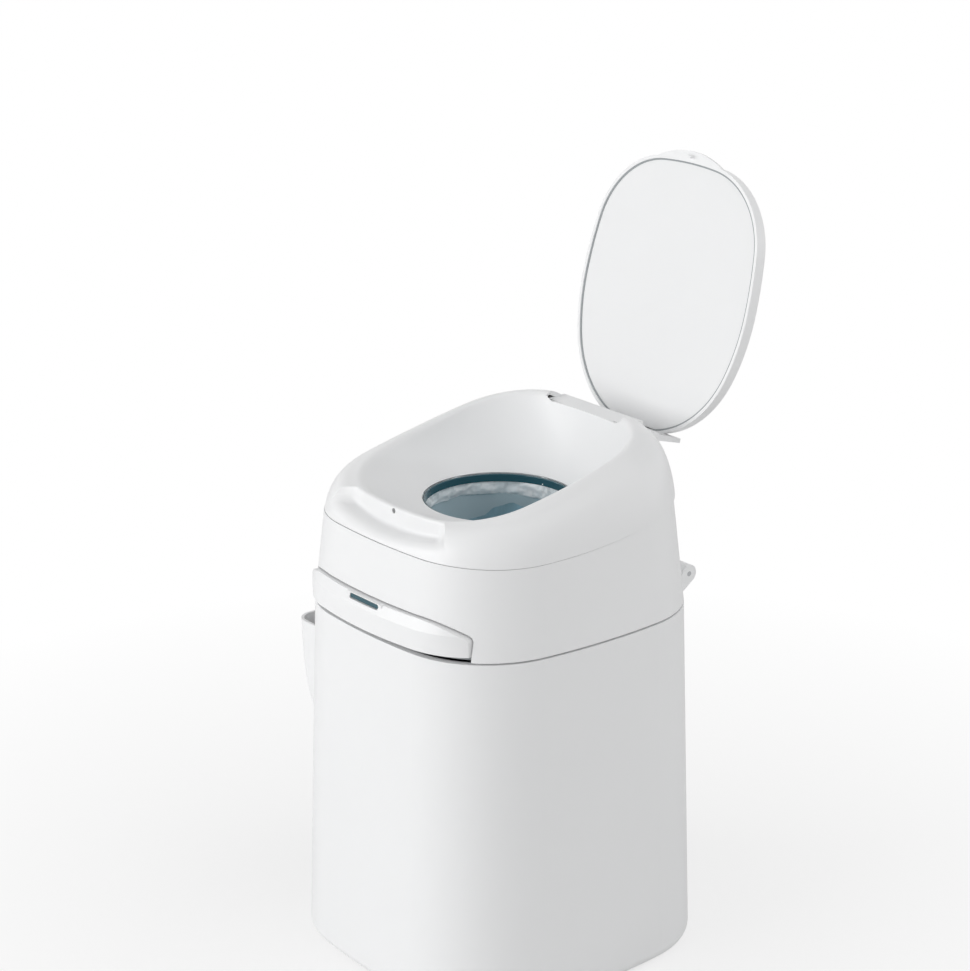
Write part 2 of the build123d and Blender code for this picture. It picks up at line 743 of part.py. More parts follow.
with BuildPart() as handle_outline:
    # Upright envelope of the handle seen from the front
    half = handle_half_width
    top = seam_height + handle_top
    end_height = seam_height + handle_end_height
    low = seam_height + handle_bottom
    with BuildSketch(Plane.XZ):
        with BuildLine():
            TangentArc((-handle_shoulder_half, top), (-half, end_height), tangent=(-1, 0))
            Line((-handle_shoulder_half, top), (handle_shoulder_half, top))
            TangentArc((handle_shoulder_half, top), (half, end_height), tangent=(1, 0))
            Polyline((half, end_height), (half, low), (-half, low), (-half, end_height))
        face = make_face()
        fillet(face.vertices().group_by(Axis.Y)[1], handle_end_round)
    extrude(amount=body_depth * 0.6)

button_face = -handle_crown + handle_band_depth * 0.55 + button_recess
button_back = button_face + button_depth
box_half = button_half_width + 2.5
box_back = button_back + button_travel + 5.0
box_low = deck_top + slide_gap
band_start = handle_top - handle_band
with BuildPart() as drawer_front:
    # Proud panel with a grip band that leans back along its top edge
    add(handle_plan(Plane.XY.offset(seam_height + handle_bottom), 0, handle_half_width))
    extrude(amount=band_start - handle_bottom)
    loft(
        [
            handle_plan(Plane.XY.offset(seam_height + band_start), 0, handle_half_width),
            handle_plan(Plane.XY.offset(seam_height + handle_top), handle_band_depth, handle_half_width),
        ],
        ruled=True,
    )
    add(handle_outline.part, mode=Mode.INTERSECT)
    panel_back = -port_inset + 0.6
    loft([body_plan(0, panel_back), body_plan(handle_top + 5, panel_back)], ruled=True, mode=Mode.SUBTRACT)
    # Pocket behind the panel
    add(handle_plan(Plane.XY.offset(seam_height + handle_bottom + handle_wall), handle_wall, handle_bow_half))
    extrude(amount=band_start - handle_bottom - handle_wall, mode=Mode.SUBTRACT)
    # Tongue that the gate plate is screwed to
    tongue_level = seam_height + gate_level + gate_thickness
    with BuildSketch(Plane.XY.offset(tongue_level)):
        with Locations((0, (handle_wall - handle_crown + 1.5 + gate_front + tongue_depth) / 2)):
            Rectangle(2 * tongue_half_width, handle_crown - handle_wall - 1.5 + gate_front + tongue_depth)
    extrude(amount=handle_wall)
    with BuildSketch(Plane.XY.offset(tongue_level)):
        with Locations((-tongue_screw_x, tongue_screw_y), (tongue_screw_x, tongue_screw_y)):
            Circle(screw_radius)
    extrude(amount=handle_wall, mode=Mode.SUBTRACT)
    # Box that holds the release button and its spring
    box_top = seam_height + handle_top
    box_front = panel_back - body_face(box_low)
    with BuildSketch(Plane.XY.offset(seam_height + box_low)):
        with Locations((0, (box_front - 1 + box_back + button_box_wall) / 2)):
            Rectangle(2 * (box_half + button_box_wall), box_back + button_box_wall - box_front + 1)
    extrude(amount=handle_top - box_low)
    with BuildSketch(Plane.XY.offset(seam_height + box_low)):
        with Locations((0, (box_front + box_back) / 2)):
            Rectangle(2 * box_half, box_back - box_front)
    extrude(amount=button_level + button_height + button_gap - box_low, mode=Mode.SUBTRACT)
    # Window of the button
    with BuildSketch(Plane.XZ.offset(handle_crown + 1)):
        with Locations((0, seam_height + button_level + button_height / 2)):
            RectangleRounded(
                2 * (button_half_width + button_gap), button_height + 2 * button_gap, button_height * 0.45
            )
    extrude(amount=-(handle_crown + 1 + box_back - 2), mode=Mode.SUBTRACT)
drawer_front.part.label = "drawer_front"

with BuildPart() as release_button:
    with BuildSketch(Plane.XZ.offset(-button_face)):
        with Locations((0, seam_height + button_level + button_height / 2)):
            RectangleRounded(2 * button_half_width, button_height, button_height * 0.42)
    extrude(amount=-button_depth)
    with BuildSketch(Plane.XZ.offset(-button_back)):
        with Locations((0, seam_height + button_level + button_height / 2)):
            Rectangle(2 * (box_half - button_gap), button_height)
    extrude(amount=button_flange)
release_button.part.label = "release_button"

with BuildPart() as button_spring:
    with BuildSketch(Plane.XZ.offset(-button_back)):
        with Locations((0, seam_height + button_level + button_height / 2)):
            Circle(button_height * 0.45)
            Circle(button_height * 0.3, mode=Mode.SUBTRACT)
    extrude(amount=button_back - box_back)
button_spring.part.label = "button_spring"

# ---------------------------------------------------------------- cassette and film
ring_underside = ring_flange_top - ring_thickness
tray_inner_top = ring_underside - 3.5
with BuildPart() as cassette_body:
    with BuildSketch(Plane.XZ) as tray:
        with BuildLine():
            Polyline(
                (cassette_inner, seam_height + deck_top),
                (cassette_radius, seam_height + deck_top),
                (cassette_radius, seam_height + ring_underside),
                (cassette_radius - cassette_wall, seam_height + ring_underside),
                (cassette_radius - cassette_wall, seam_height + deck_top + cassette_wall),
                (cassette_inner + cassette_wall, seam_height + deck_top + cassette_wall),
                (cassette_inner + cassette_wall, seam_height + tray_inner_top),
                (cassette_inner, seam_height + tray_inner_top),
                close=True,
            )
        make_face()
    revolve(axis=Axis.Z)
cassette_body.part.label = "cassette_body"

with BuildPart() as cassette_ring:
    with BuildSketch(Plane.XZ):
        with BuildLine():
            Polyline(
                (ring_inner, seam_height + ring_underside - 2),
                (ring_inner, seam_height + ring_top),
                (ring_inner + ring_lip, seam_height + ring_top),
                (ring_inner + ring_lip, seam_height + ring_flange_top),
                (cassette_radius + 1.8, seam_height + ring_flange_top),
                (cassette_radius + 1.8, seam_height + ring_underside - 6),
                (cassette_radius + 0.3, seam_height + ring_underside - 6),
                (cassette_radius + 0.3, seam_height + ring_underside),
                (ring_inner + ring_lip, seam_height + ring_underside),
                (ring_inner + ring_lip, seam_height + ring_underside - 2),
                close=True,
            )
        make_face()
    revolve(axis=Axis.Z)
    fillet(cassette_ring.edges().group_by(Axis.Z)[-1], ring_lip * 0.4)
cassette_ring.part.label = "cassette_ring"

with BuildPart() as film_pack:
    with BuildSketch(Plane.XZ):
        with BuildLine():
            pack_low = seam_height + deck_top + cassette_wall + part_gap
            pack_high = seam_height + tray_inner_top - 5
            pack_in = cassette_inner + cassette_wall + part_gap
            pack_out = cassette_radius - cassette_wall - part_gap
            pack_side = pack_high - 4
            pack_mid = (pack_in + pack_out) / 2
            Polyline((pack_in, pack_side), (pack_in, pack_low), (pack_out, pack_low), (pack_out, pack_side))
            ThreePointArc((pack_out, pack_side), (pack_mid, pack_high), (pack_in, pack_side))
        make_face()
    revolve(axis=Axis.Z)
film_pack.part.label = "film_pack"

# Film drawn from the pack over the tray's inner wall and down through the throat
with BuildPart() as film_sleeve:
    crest = seam_height + tray_inner_top + part_gap
    foot = seam_height + deck_level + 0.5
    lead = cassette_inner + cassette_wall + part_gap
    with BuildSketch(Plane.XZ):
        with BuildLine():
            Polyline(
                (sleeve_bottom_radius - film_thickness, foot),
                (sleeve_bottom_radius, foot),
                (sleeve_top_radius + film_thickness, crest),
                (lead, crest),
                (lead, crest - 4),
                (lead + film_thickness, crest - 4),
                (lead + film_thickness, crest + film_thickness),
                (sleeve_top_radius, crest + film_thickness),
                close=True,
            )
        make_face()
    revolve(axis=Axis.Z)
film_sleeve.part.label = "film_sleeve"

# ---------------------------------------------------------------- hopper cover
def cover_skin(inset, drop):
    """Outer form of the cover, set in by a distance and with its upper sections lowered."""
    start = 58.0
    sections = [body_plan(start, -inset)]
    rows = (
        (shoulder_level, shoulder_slope, 0.0, shoulder_width, shoulder_depth, 410.0, 66.0),
        (upper_level, upper_slope, -1.0, upper_width, upper_depth, 366.0, 62.0),
        (ridge_level, ridge_slope, ridge_shift, ridge_width, ridge_depth, ridge_bow, ridge_corner),
    )
    for level, slope, shift, width, depth, bow, corner in rows:
        plane = sloped_plane(level - drop, slope, shift)
        lean = sqrt(1 + slope**2)
        across = width - 2 * inset
        along = depth * lean - 2 * inset
        sections.append(bowed_plan(plane, across, along, bow - inset, corner - inset))
    with BuildPart() as skin:
        loft(sections)
    return skin.part


def dish_form(grow, drop, below):
    """Space of the hopper's dish, grown sideways, lowered, with the throat carried on below by a height."""
    lean = sqrt(1 + ridge_slope**2)
    slim = ridge_land - grow
    rim_plan = (ridge_width - 2 * slim, ridge_depth * lean - 2 * slim, ridge_bow - slim, ridge_corner - slim)
    dish_lean = sqrt(1 + dish_slope**2)
    sections = [
        circle_plan(Plane.XY.offset(seam_height + throat_level - drop), throat_radius + grow),
        bowed_plan(sloped_plane(dish_level - drop, dish_slope, -2.0), dish_width + 2 * grow,
                   dish_depth * dish_lean + 2 * grow, dish_bow + grow, dish_corner + grow),
        bowed_plan(sloped_plane(ridge_level - drop, ridge_slope, ridge_shift), *rim_plan),
    ]
    with BuildPart() as form:
        loft(sections)
        above = sloped_plane(ridge_level + 10, ridge_slope, ridge_shift)
        loft([sections[-1], bowed_plan(above, *rim_plan)], ruled=True)
        if below:
            with BuildSketch(Plane.XY.offset(seam_height + throat_level - drop)):
                Circle(throat_radius + grow)
            extrude(amount=-below)
    return form.part


skin_drop = 2.2
with BuildPart() as cover_cavity:
    add(cover_skin(wall, skin_drop))
    add(dish_form(1.2, skin_drop, 0), mode=Mode.SUBTRACT)

notch_front = lid_hinge_y - 6.5
notch_floor = seam_height + lid_hinge_height - lid_barrel_radius - 4.0
recess_lining = 2.4


def recess_tool(grow):
    """Thumb recess of the front shoulder: upright back that follows the ridge, trough-shaped floor."""
    with BuildPart() as tool:
        with BuildSketch(Plane.XZ.offset(recess_back - 15)):
            with Locations((0, seam_height + recess_floor + recess_radius)):
                Circle(recess_radius + grow)
        extrude(amount=60)
        with BuildSketch(Plane.XY.offset(seam_height + recess_floor - 10)):
            with BuildLine():
                back = recess_back - grow
                ThreePointArc((-60, 6.5 - back), (0, -back), (60, 6.5 - back))
                out = -recess_back - 40
                Polyline((60, 6.5 - back), (60, out), (-60, out), (-60, 6.5 - back))
            make_face()
        extrude(amount=40, mode=Mode.INTERSECT)
    return tool.part


with BuildPart() as cover_lining:
    # Walls of the thumb recess and of the hinge notch, inside the cover's skin
    add(recess_tool(recess_lining))
    with BuildSketch(Plane.XY.offset(notch_floor - wall)):
        with Locations((0, notch_front - wall + 20)):
            Rectangle(2 * (lid_notch_half + wall), 40)
    extrude(amount=40)
    with BuildSketch(Plane.XY.offset(seam_height + ridge_cut_level - 2 * wall)):
        with Locations((0, ridge_cut_front)):
            Rectangle(2 * (lid_notch_half + wall), notch_front - ridge_cut_front, align=(Align.CENTER, Align.MIN))
    extrude(amount=2 * wall)
    for side in (-lid_boss_outer, lid_notch_half):
        with BuildSketch(Plane.YZ.offset(side)):
            with Locations(lid_hinge_centre):
                Circle(lid_barrel_radius)
            with Locations((lid_hinge_y - 8, seam_height + lid_hinge_height - 4)):
                Rectangle(8, 10)
            make_hull()
        extrude(amount=lid_boss_outer - lid_notch_half)

with BuildPart() as fitted_lining:
    add(cover_lining.part)
    add(cover_skin(0, 0), mode=Mode.INTERSECT)
    add(dish_form(0, 0, 30), mode=Mode.SUBTRACT)

with BuildPart() as top_cover:
    add(cover_skin(0, 0))
    add(dish_form(0, 0, 30), mode=Mode.SUBTRACT)
    crest = top_cover.faces().filter_by(GeomType.PLANE).sort_by(Axis.Z)[-1]
    chamfer(crest.outer_wire().edges(), ridge_round)
    crest = top_cover.faces().filter_by(GeomType.PLANE).sort_by(Axis.Z)[-1]
    fillet([edge for wire in crest.inner_wires() for edge in wire.edges()], ridge_round)
    add(cover_cavity.part, mode=Mode.SUBTRACT)
    add(fitted_lining.part)
    add(recess_tool(0), mode=Mode.SUBTRACT)
    # Catch hole in the back of the recess
    with BuildSketch(Plane.XZ.offset(recess_back - 6)):
        with Locations((0, seam_height + recess_floor + 12)):
            Circle(2)
    extrude(amount=10, mode=Mode.SUBTRACT)
    # Notch for the lid's barrel and tongue
    with BuildSketch(Plane.YZ.offset(-lid_notch_half)):
        with BuildLine():
            Polyline(
                (notch_front, notch_floor),
                (lid_hinge_y + 30, notch_floor),
                (lid_hinge_y + 30, seam_height + ridge_level + 40),
                (notch_front, seam_height + ridge_level + 40),
                close=True,
            )
        make_face()
    extrude(amount=2 * lid_notch_half, mode=Mode.SUBTRACT)
    with BuildSketch(Plane.XY.offset(seam_height + ridge_cut_level)):
        with Locations((0, ridge_cut_front)):
            Rectangle(2 * lid_notch_half, 40, align=(Align.CENTER, Align.MIN))
    extrude(amount=40, mode=Mode.SUBTRACT)
    for side in (-lid_boss_outer, lid_notch_half):
        with BuildSketch(Plane.YZ.offset(side)):
            with Locations(lid_hinge_centre):
                Circle(lid_barrel_radius)
        extrude(amount=lid_boss_outer - lid_notch_half)
    with BuildSketch(Plane.YZ.offset(-lid_boss_outer - 1)):
        with Locations(lid_hinge_centre):
            Circle(lid_pin_radius)
    extrude(amount=2 * lid_boss_outer + 2, mode=Mode.SUBTRACT)
    add(seam_region(cover_seam_gap), mode=Mode.INTERSECT)
    # Lugs of the cover's own hinge
    lug_start = cover_lug_inner + cover_lug_width + cover_lug_gap
    cover_foot = body_face(cover_hinge_height) - wall - 0.6
    cover_foot_low = seam_height + cover_seam_ends[1] + 3
    for side in (lug_start, -lug_start - cover_lug_width):
        add(lug(side, side + cover_lug_width, cover_hinge_centre, cover_hinge_radius, cover_foot,
                cover_foot_low, cover_foot_low + 9))
    with BuildSketch(Plane.YZ.offset(-cover_lug_end)):
        with Locations(cover_hinge_centre):
            Circle(cover_pin_radius + pin_clearance)
    extrude(amount=2 * cover_lug_end, mode=Mode.SUBTRACT)
top_cover.part.label = "top_cover"

with BuildPart() as cover_hinge_pins:
    for side in (cover_lug_inner, -cover_lug_end):
        with BuildSketch(Plane.YZ.offset(side)):
            with Locations(cover_hinge_centre):
                Circle(cover_pin_radius)
        extrude(amount=cover_lug_end - cover_lug_inner)
cover_hinge_pins.part.label = "cover_hinge_pins"

with BuildPart() as lid_hinge_pin:
    with BuildSketch(Plane.YZ.offset(-lid_boss_outer)):
        with Locations(lid_hinge_centre):
            Circle(lid_pin_radius)
    extrude(amount=2 * lid_boss_outer)
lid_hinge_pin.part.label = "lid_hinge_pin"

# ---------------------------------------------------------------- lid, standing open
open_turn = radians(lid_open_angle)
lid_frame = Plane(
    origin=(0, lid_hinge_y, seam_height + lid_hinge_height),
    x_dir=(1, 0, 0),
    z_dir=(0, sin(open_turn), -cos(open_turn)),
)   # local +Z is the outside of the lid, local -Y runs from the hinge to the tip


def lid_plan(stand, inset):
    """Egg-shaped plan of the lid at a distance from the hinge axis, set in from the rim."""
    half = lid_width / 2 - inset
    tip_end, tip_middle, tip_side = bowed_quadrant(
        half, lid_tip - inset, lid_tip_bow - inset, lid_tip_corner - inset)
    heel_end, heel_middle, heel_side = bowed_quadrant(
        half, lid_heel - inset, lid_heel_bow - inset, lid_heel_corner - inset)
    with BuildSketch(lid_frame.offset(stand)) as plan:
        with Locations((0, -lid_centre)):
            with BuildLine(mode=Mode.PRIVATE) as outline:
                ThreePointArc((-heel_end[0], heel_end[1]), (0, lid_heel - inset), heel_end)
                ThreePointArc(heel_end, heel_middle, heel_side)
                RadiusArc(heel_side, (half, 0), lid_heel_bow - inset)
                RadiusArc((half, 0), (tip_side[0], -tip_side[1]), lid_tip_bow - inset)
                ThreePointArc((tip_side[0], -tip_side[1]), (tip_middle[0], -tip_middle[1]),
                              (tip_end[0], -tip_end[1]))
                ThreePointArc((tip_end[0], -tip_end[1]), (0, inset - lid_tip), (-tip_end[0], -tip_end[1]))
                ThreePointArc((-tip_end[0], -tip_end[1]), (-tip_middle[0], -tip_middle[1]),
                              (-tip_side[0], -tip_side[1]))
                RadiusArc((-tip_side[0], -tip_side[1]), (-half, 0), lid_tip_bow - inset)
                RadiusArc((-half, 0), (-heel_side[0], heel_side[1]), lid_heel_bow - inset)
                ThreePointArc((-heel_side[0], heel_side[1]), (-heel_middle[0], heel_middle[1]),
                              (-heel_end[0], heel_end[1]))
            add(make_face(outline.edges(), mode=Mode.PRIVATE))
    return plan.sketch


def lid_form(inset):
    """Outer form of the lid: steep side wall, rounded into a shallow dome."""
    side = lid_stand + lid_side
    top = lid_stand + lid_dome - inset
    with BuildPart() as form:
        loft([lid_plan(lid_stand - (inset > 0), inset), lid_plan(side, inset + lid_draft)], ruled=True)
        loft([lid_plan(side, inset + lid_draft), lid_plan(side + (top - side) * 0.7, inset + 8),
              lid_plan(top, inset + 34)])
    return form.part


with BuildPart() as lid_shell:
    add(lid_form(0))
    add(lid_form(lid_wall), mode=Mode.SUBTRACT)
    # Grip lip at the tip
    tip = lid_tip + lid_centre
    with BuildSketch(lid_frame.offset(lid_stand)) as grip:
        with BuildLine():
            grip_end = 12 - tip
            grip_arc = ThreePointArc((-lip_grip_half, grip_end), (0, -tip - lip_grip_reach), (lip_grip_half, grip_end))
            Line(grip_arc @ 1, grip_arc @ 0)
        make_face()
    extrude(amount=lid_wall)
    add(lid_form(lid_wall), mode=Mode.SUBTRACT)
    # Latch tab that meets the catch hole of the thumb recess
    with BuildSketch(lid_frame.offset(lid_stand - 4)):
        with Locations((0, -tip - latch_offset)):
            Rectangle(2 * latch_half_width, latch_depth)
    extrude(amount=5)
    # Tongue to the hinge barrel
    with BuildSketch(Plane.YZ.offset(-lid_barrel_half)):
        with BuildLine():
            along = (cos(open_turn), sin(open_turn))
            outward = (sin(open_turn), -cos(open_turn))

            def lid_point(reach, stand):
                """Point of the side view from its distance along the lid and outwards from the hinge."""
                return (
                    lid_hinge_centre[0] + reach * along[0] + stand * outward[0],
                    lid_hinge_centre[1] + reach * along[1] + stand * outward[1],
                )

            heel = lid_centre - lid_heel
            Polyline(
                lid_point(-2.2, 0),
                lid_point(heel + 0.6, lid_stand + lid_side),
                lid_point(heel + 4.0, lid_stand + lid_side),
                lid_point(heel + 5.0, lid_stand + 1),
                lid_point(2.2, 0),
                close=True,
            )
        make_face()
        with Locations(lid_hinge_centre):
            Circle(lid_barrel_radius)
    extrude(amount=2 * lid_barrel_half)
    with BuildSketch(Plane.YZ.offset(-lid_barrel_half)):
        with Locations(lid_hinge_centre):
            Circle(lid_pin_radius + pin_clearance)
    extrude(amount=2 * lid_barrel_half, mode=Mode.SUBTRACT)
lid_shell.part.label = "lid_shell"

liner_edge = lid_wall + lid_draft / 2 + lid_gasket_width
with BuildPart() as lid_liner:
    add(lid_plan(lid_stand + liner_inset, liner_edge))
    extrude(amount=liner_thickness, dir=lid_frame.z_dir)
    with BuildSketch(Plane.YZ.offset(-lid_barrel_half - part_gap)):
        Polygon(
            lid_point(heel - 1, 0),
            lid_point(heel - 1, lid_stand + lid_side),
            lid_point(heel + 5.0 + 2 * part_gap, lid_stand + lid_side),
            lid_point(heel + 5.0 + 2 * part_gap, 0),
            align=None,
        )
    extrude(amount=2 * (lid_barrel_half + part_gap), mode=Mode.SUBTRACT)
lid_liner.part.label = "lid_liner"

with BuildPart() as lid_gasket:
    add(lid_plan(lid_stand + liner_inset - 0.5, lid_wall))
    extrude(amount=liner_thickness + 0.5, dir=lid_frame.z_dir)
    add(lid_plan(lid_stand + liner_inset - 0.5, liner_edge))
    extrude(amount=liner_thickness + 0.5, dir=lid_frame.z_dir, mode=Mode.SUBTRACT)
    add(lid_shell.part, mode=Mode.SUBTRACT)
lid_gasket.part.label = "lid_gasket"

# ---------------------------------------------------------------- scoop holder
def holder_form(inset, low):
    """Outer form of the pocket: its side view, rounded at the front and rear corners."""
    rim = seam_height + holder_rim
    wall_x = -body_width / 2 * (1 - pail_flare * holder_rim)
    waist_x = -body_width / 2 * (1 - pail_flare * holder_waist_level)
    foot_x = -body_width / 2 * (1 - pail_flare * holder_bottom)
    width = holder_half_width - inset
    with BuildPart() as form:
        with BuildSketch(Plane.XZ.offset(-width)):
            with BuildLine():
                front = Spline(
                    (wall_x - holder_proud + inset, rim),
                    (waist_x - holder_waist_proud + inset, seam_height + holder_waist_level),
                    (foot_x + low, seam_height + holder_bottom + low),
                    tangents=((0.05, -1), (0.75, -0.65)),
                )
                Polyline(
                    front @ 1,
                    (wall_x + 20, seam_height + holder_bottom + low),
                    (wall_x + 20, rim),
                    front @ 0,
                )
            make_face()
        extrude(amount=2 * width)
        corners = form.edges().filter_by(lambda edge: abs(edge.center().Y) > width - 0.01).group_by(Axis.X)[0]
        fillet(corners, holder_corner - inset)
    return form.part


def wall_form(grow):
    """Pail wall beside the holder, grown outwards by a distance."""
    low = holder_bottom - 12
    high = holder_rim + 12
    with BuildPart() as form:
        loft([body_plan(low, grow), body_plan(high, grow)], ruled=True)
    return form.part


hook_gap = 0.4
with BuildPart() as scoop_holder:
    add(holder_form(0, 0))
    add(wall_form(holder_gap), mode=Mode.SUBTRACT)
    with BuildPart(mode=Mode.PRIVATE) as pocket:
        add(holder_form(holder_wall, holder_wall + 1))
        add(wall_form(holder_gap + holder_wall), mode=Mode.SUBTRACT)
    add(pocket.part, mode=Mode.SUBTRACT)
    # Boss that slides down over the hook rail of the pail
    boss_top = hook_top + hook_gap + holder_wall
    with BuildPart(mode=Mode.PRIVATE) as boss:
        with BuildSketch(Plane.XY.offset(seam_height + holder_bottom + 12)):
            with Locations(((hook_flange_x - hook_gap - holder_wall - body_width / 2) / 2, 0)):
                Rectangle(
                    abs(hook_flange_x - hook_gap - holder_wall + body_width / 2),
                    2 * (hook_half_width + hook_gap + holder_wall),
                )
        extrude(amount=boss_top - holder_bottom - 12)
        add(wall_form(holder_gap), mode=Mode.SUBTRACT)
        add(holder_form(0.5, 1), mode=Mode.INTERSECT)
    add(boss.part)
    with BuildSketch(Plane.XY.offset(seam_height + hook_top + hook_gap)):
        with Locations((hook_neck_x / 2 - body_width / 4, 0)):
            Rectangle(abs(hook_neck_x + body_width / 2) + 4, 2 * (hook_neck_half + hook_gap))
        with Locations((hook_flange_x + hook_flange / 2, 0)):
            Rectangle(hook_flange + 2 * hook_gap, 2 * (hook_half_width + hook_gap))
    extrude(amount=holder_bottom - hook_top - 10, mode=Mode.SUBTRACT)
scoop_holder.part.label = "scoop_holder"

# ---------------------------------------------------------------- export
head_housing = finished_housing
head_housing.part.label = "head_housing"
pieces = (
    pail_shell, pail_hinge_ears, head_hinge_pins, cutter_housing, cutter_blade, collection_bag,
    head_housing, head_hinge_knuckles, cover_hinge_lugs, gate_base, base_screws, head_gasket,
    guide_rail_left, guide_rail_right,
    cassette_deck, deck_screws, fixed_jaw, fixed_jaw_pad, return_spring_left, return_spring_right,
    cassette_body, cassette_ring, film_pack, film_sleeve,
    drawer_plate, drawer_jaw_pad, drawer_front, drawer_screws, release_button, button_spring,
    top_cover, cover_hinge_pins, lid_hinge_pin, lid_shell, lid_liner, lid_gasket, scoop_holder,
)
for piece in pieces:
    export_step(piece.part, f"parts/{piece.part.label}.step")
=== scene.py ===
"""Dressed model of a free-standing litter disposal pail.

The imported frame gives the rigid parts. This file gives them their finishes, makes the film, the springs, the
screws and the fine forms of the cover, and sets the stage. Sizes are in metres, in the frame's own axes:
+Z up, -Y towards the pull handle. Only the hopper cover is worked out in millimetres.
"""
from math import atan2, cos, exp, hypot, pi, radians, sin, sqrt

import bmesh
import bpy
from bpy.props import FloatProperty, FloatVectorProperty, PointerProperty
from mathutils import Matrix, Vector, noise


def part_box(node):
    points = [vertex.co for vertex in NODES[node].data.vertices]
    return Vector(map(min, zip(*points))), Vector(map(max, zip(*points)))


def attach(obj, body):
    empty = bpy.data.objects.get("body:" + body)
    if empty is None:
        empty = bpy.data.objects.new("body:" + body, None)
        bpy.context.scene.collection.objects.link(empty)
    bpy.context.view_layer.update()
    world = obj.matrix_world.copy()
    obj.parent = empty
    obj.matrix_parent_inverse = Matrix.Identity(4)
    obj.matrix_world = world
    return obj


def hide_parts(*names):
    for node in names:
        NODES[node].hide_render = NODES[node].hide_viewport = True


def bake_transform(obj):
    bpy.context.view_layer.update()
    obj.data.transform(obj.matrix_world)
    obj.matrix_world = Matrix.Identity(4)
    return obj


bl_info = {
    "name": "Litter Disposal Pail",
    "version": (1, 0, 0),
    "blender": (4, 5, 0),
    "location": "View3D > Sidebar > Pail",
    "description": "Finishes and fine pieces of a litter disposal pail",
    "category": "Object",
}

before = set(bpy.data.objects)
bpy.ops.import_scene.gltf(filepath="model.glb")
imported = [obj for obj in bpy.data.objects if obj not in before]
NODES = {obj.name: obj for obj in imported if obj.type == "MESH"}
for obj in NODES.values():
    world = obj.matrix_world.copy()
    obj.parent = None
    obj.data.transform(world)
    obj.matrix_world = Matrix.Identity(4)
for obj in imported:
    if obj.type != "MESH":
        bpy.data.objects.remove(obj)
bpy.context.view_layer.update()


# ---------------------------------------------------------------- shader helpers
class Val:
    """A value socket of a shader, on which Python's operators add Math nodes."""

    def __init__(self, shader, socket):
        self.shader = shader
        self.socket = socket

    def math(self, operation, *others):
        node = self.shader.add("ShaderNodeMath", {"operation": operation}, self, *others)
        return node.out()

    def __add__(self, other):
        return self.math("ADD", other)

    def __sub__(self, other):
        return self.math("SUBTRACT", other)

    def __rsub__(self, other):
        return self.shader.number(other).math("SUBTRACT", self)

    def __mul__(self, other):
        return self.math("MULTIPLY", other)

    def __truediv__(self, other):
        return self.math("DIVIDE", other)

    def __pow__(self, other):
        return self.math("POWER", other)

    __radd__ = __add__
    __rmul__ = __mul__

    def clamp(self):
        return self.math("MAXIMUM", 0.0).math("MINIMUM", 1.0)


class Node:
    """A shader node and the way to its outputs."""

    def __init__(self, shader, node):
        self.shader = shader
        self.node = node

    def out(self, name=0):
        return Val(self.shader, self.node.outputs[name])


class Shader:
    """A material, or the world, under construction."""

    def __init__(self, name, owner=None):
        self.owner = owner or bpy.data.materials.new(name)
        self.owner.use_nodes = True
        self.tree = self.owner.node_tree
        self.tree.nodes.clear()

    def plug(self, socket, value):
        if isinstance(value, Val):
            self.tree.links.new(value.socket, socket)
        else:
            socket.default_value = value

    def add(self, kind, settings=None, *values, **named):
        """A node with its settings, then its sockets in order, then its sockets by name."""
        node = self.tree.nodes.new(kind)
        for key, value in (settings or {}).items():
            setattr(node, key, value)
        for socket, value in zip(node.inputs, values):
            self.plug(socket, value)
        for key, value in named.items():
            self.plug(node.inputs[key.replace("_", " ")], value)
        return Node(self, node)

    def number(self, value):
        if isinstance(value, Val):
            return value
        return self.add("ShaderNodeMath", {"operation": "ADD"}, value, 0.0).out()

    def place(self):
        return self.add("ShaderNodeTexCoord").out("Object")

    def parts_of(self, vector):
        node = self.add("ShaderNodeSeparateXYZ", None, vector)
        return node.out("X"), node.out("Y"), node.out("Z")

    def noise(self, vector, scale, detail=2.0, roughness=0.5, distortion=0.0):
        node = self.add("ShaderNodeTexNoise", {"noise_dimensions": "3D"}, Vector=vector, Scale=scale,
                        Detail=detail, Roughness=roughness, Distortion=distortion)
        return node.out(0)

    def blend_colour(self, factor, first, second):
        node = self.add("ShaderNodeMix", {"data_type": "RGBA"})
        sockets = [s for s in node.node.inputs if s.enabled]
        self.plug(sockets[0], factor)
        self.plug(sockets[1], first)
        self.plug(sockets[2], second)
        return Val(self, [s for s in node.node.outputs if s.enabled][0])

    def bump(self, height, strength, distance):
        bump = self.add("ShaderNodeBump", None, Strength=strength, Distance=distance, Height=height)
        return bump.out("Normal")

    def finish(self, surface, kind="ShaderNodeOutputMaterial"):
        out = self.tree.nodes.new(kind)
        self.tree.links.new(surface.socket, out.inputs["Surface"])
        return self.owner


def rgba(colour):
    return (*colour, 1.0)


def toned(colour, factor):
    """A lighter or darker tone of a colour."""
    return tuple(min(1.0, c * factor) for c in colour)


def principled(shader, **sockets):
    return shader.add("ShaderNodeBsdfPrincipled", None, **sockets).out("BSDF")


def moulded_plastic(name, colour, roughness, grain, shift=0.02, coat=0.0):
    """Injection-moulded plastic: a fine eroded grain, slow flow marks and a faint tone change."""
    s = Shader(name)
    place = s.place()
    flow = s.noise(place, scale=9.0, detail=3.0, roughness=0.55)
    fine = s.noise(place, scale=2600.0, detail=1.0)
    cloud = s.noise(place, scale=38.0)
    tone = s.blend_colour(flow, rgba(toned(colour, 1 - shift)), rgba(colour))
    rough = cloud * 0.06 + (roughness - 0.03) + fine * 0.03
    return s.finish(principled(s, Base_Color=tone, Roughness=rough, Normal=s.bump(fine, grain, 0.00004),
                               Coat_Weight=coat, Coat_Roughness=0.08, IOR=1.46))


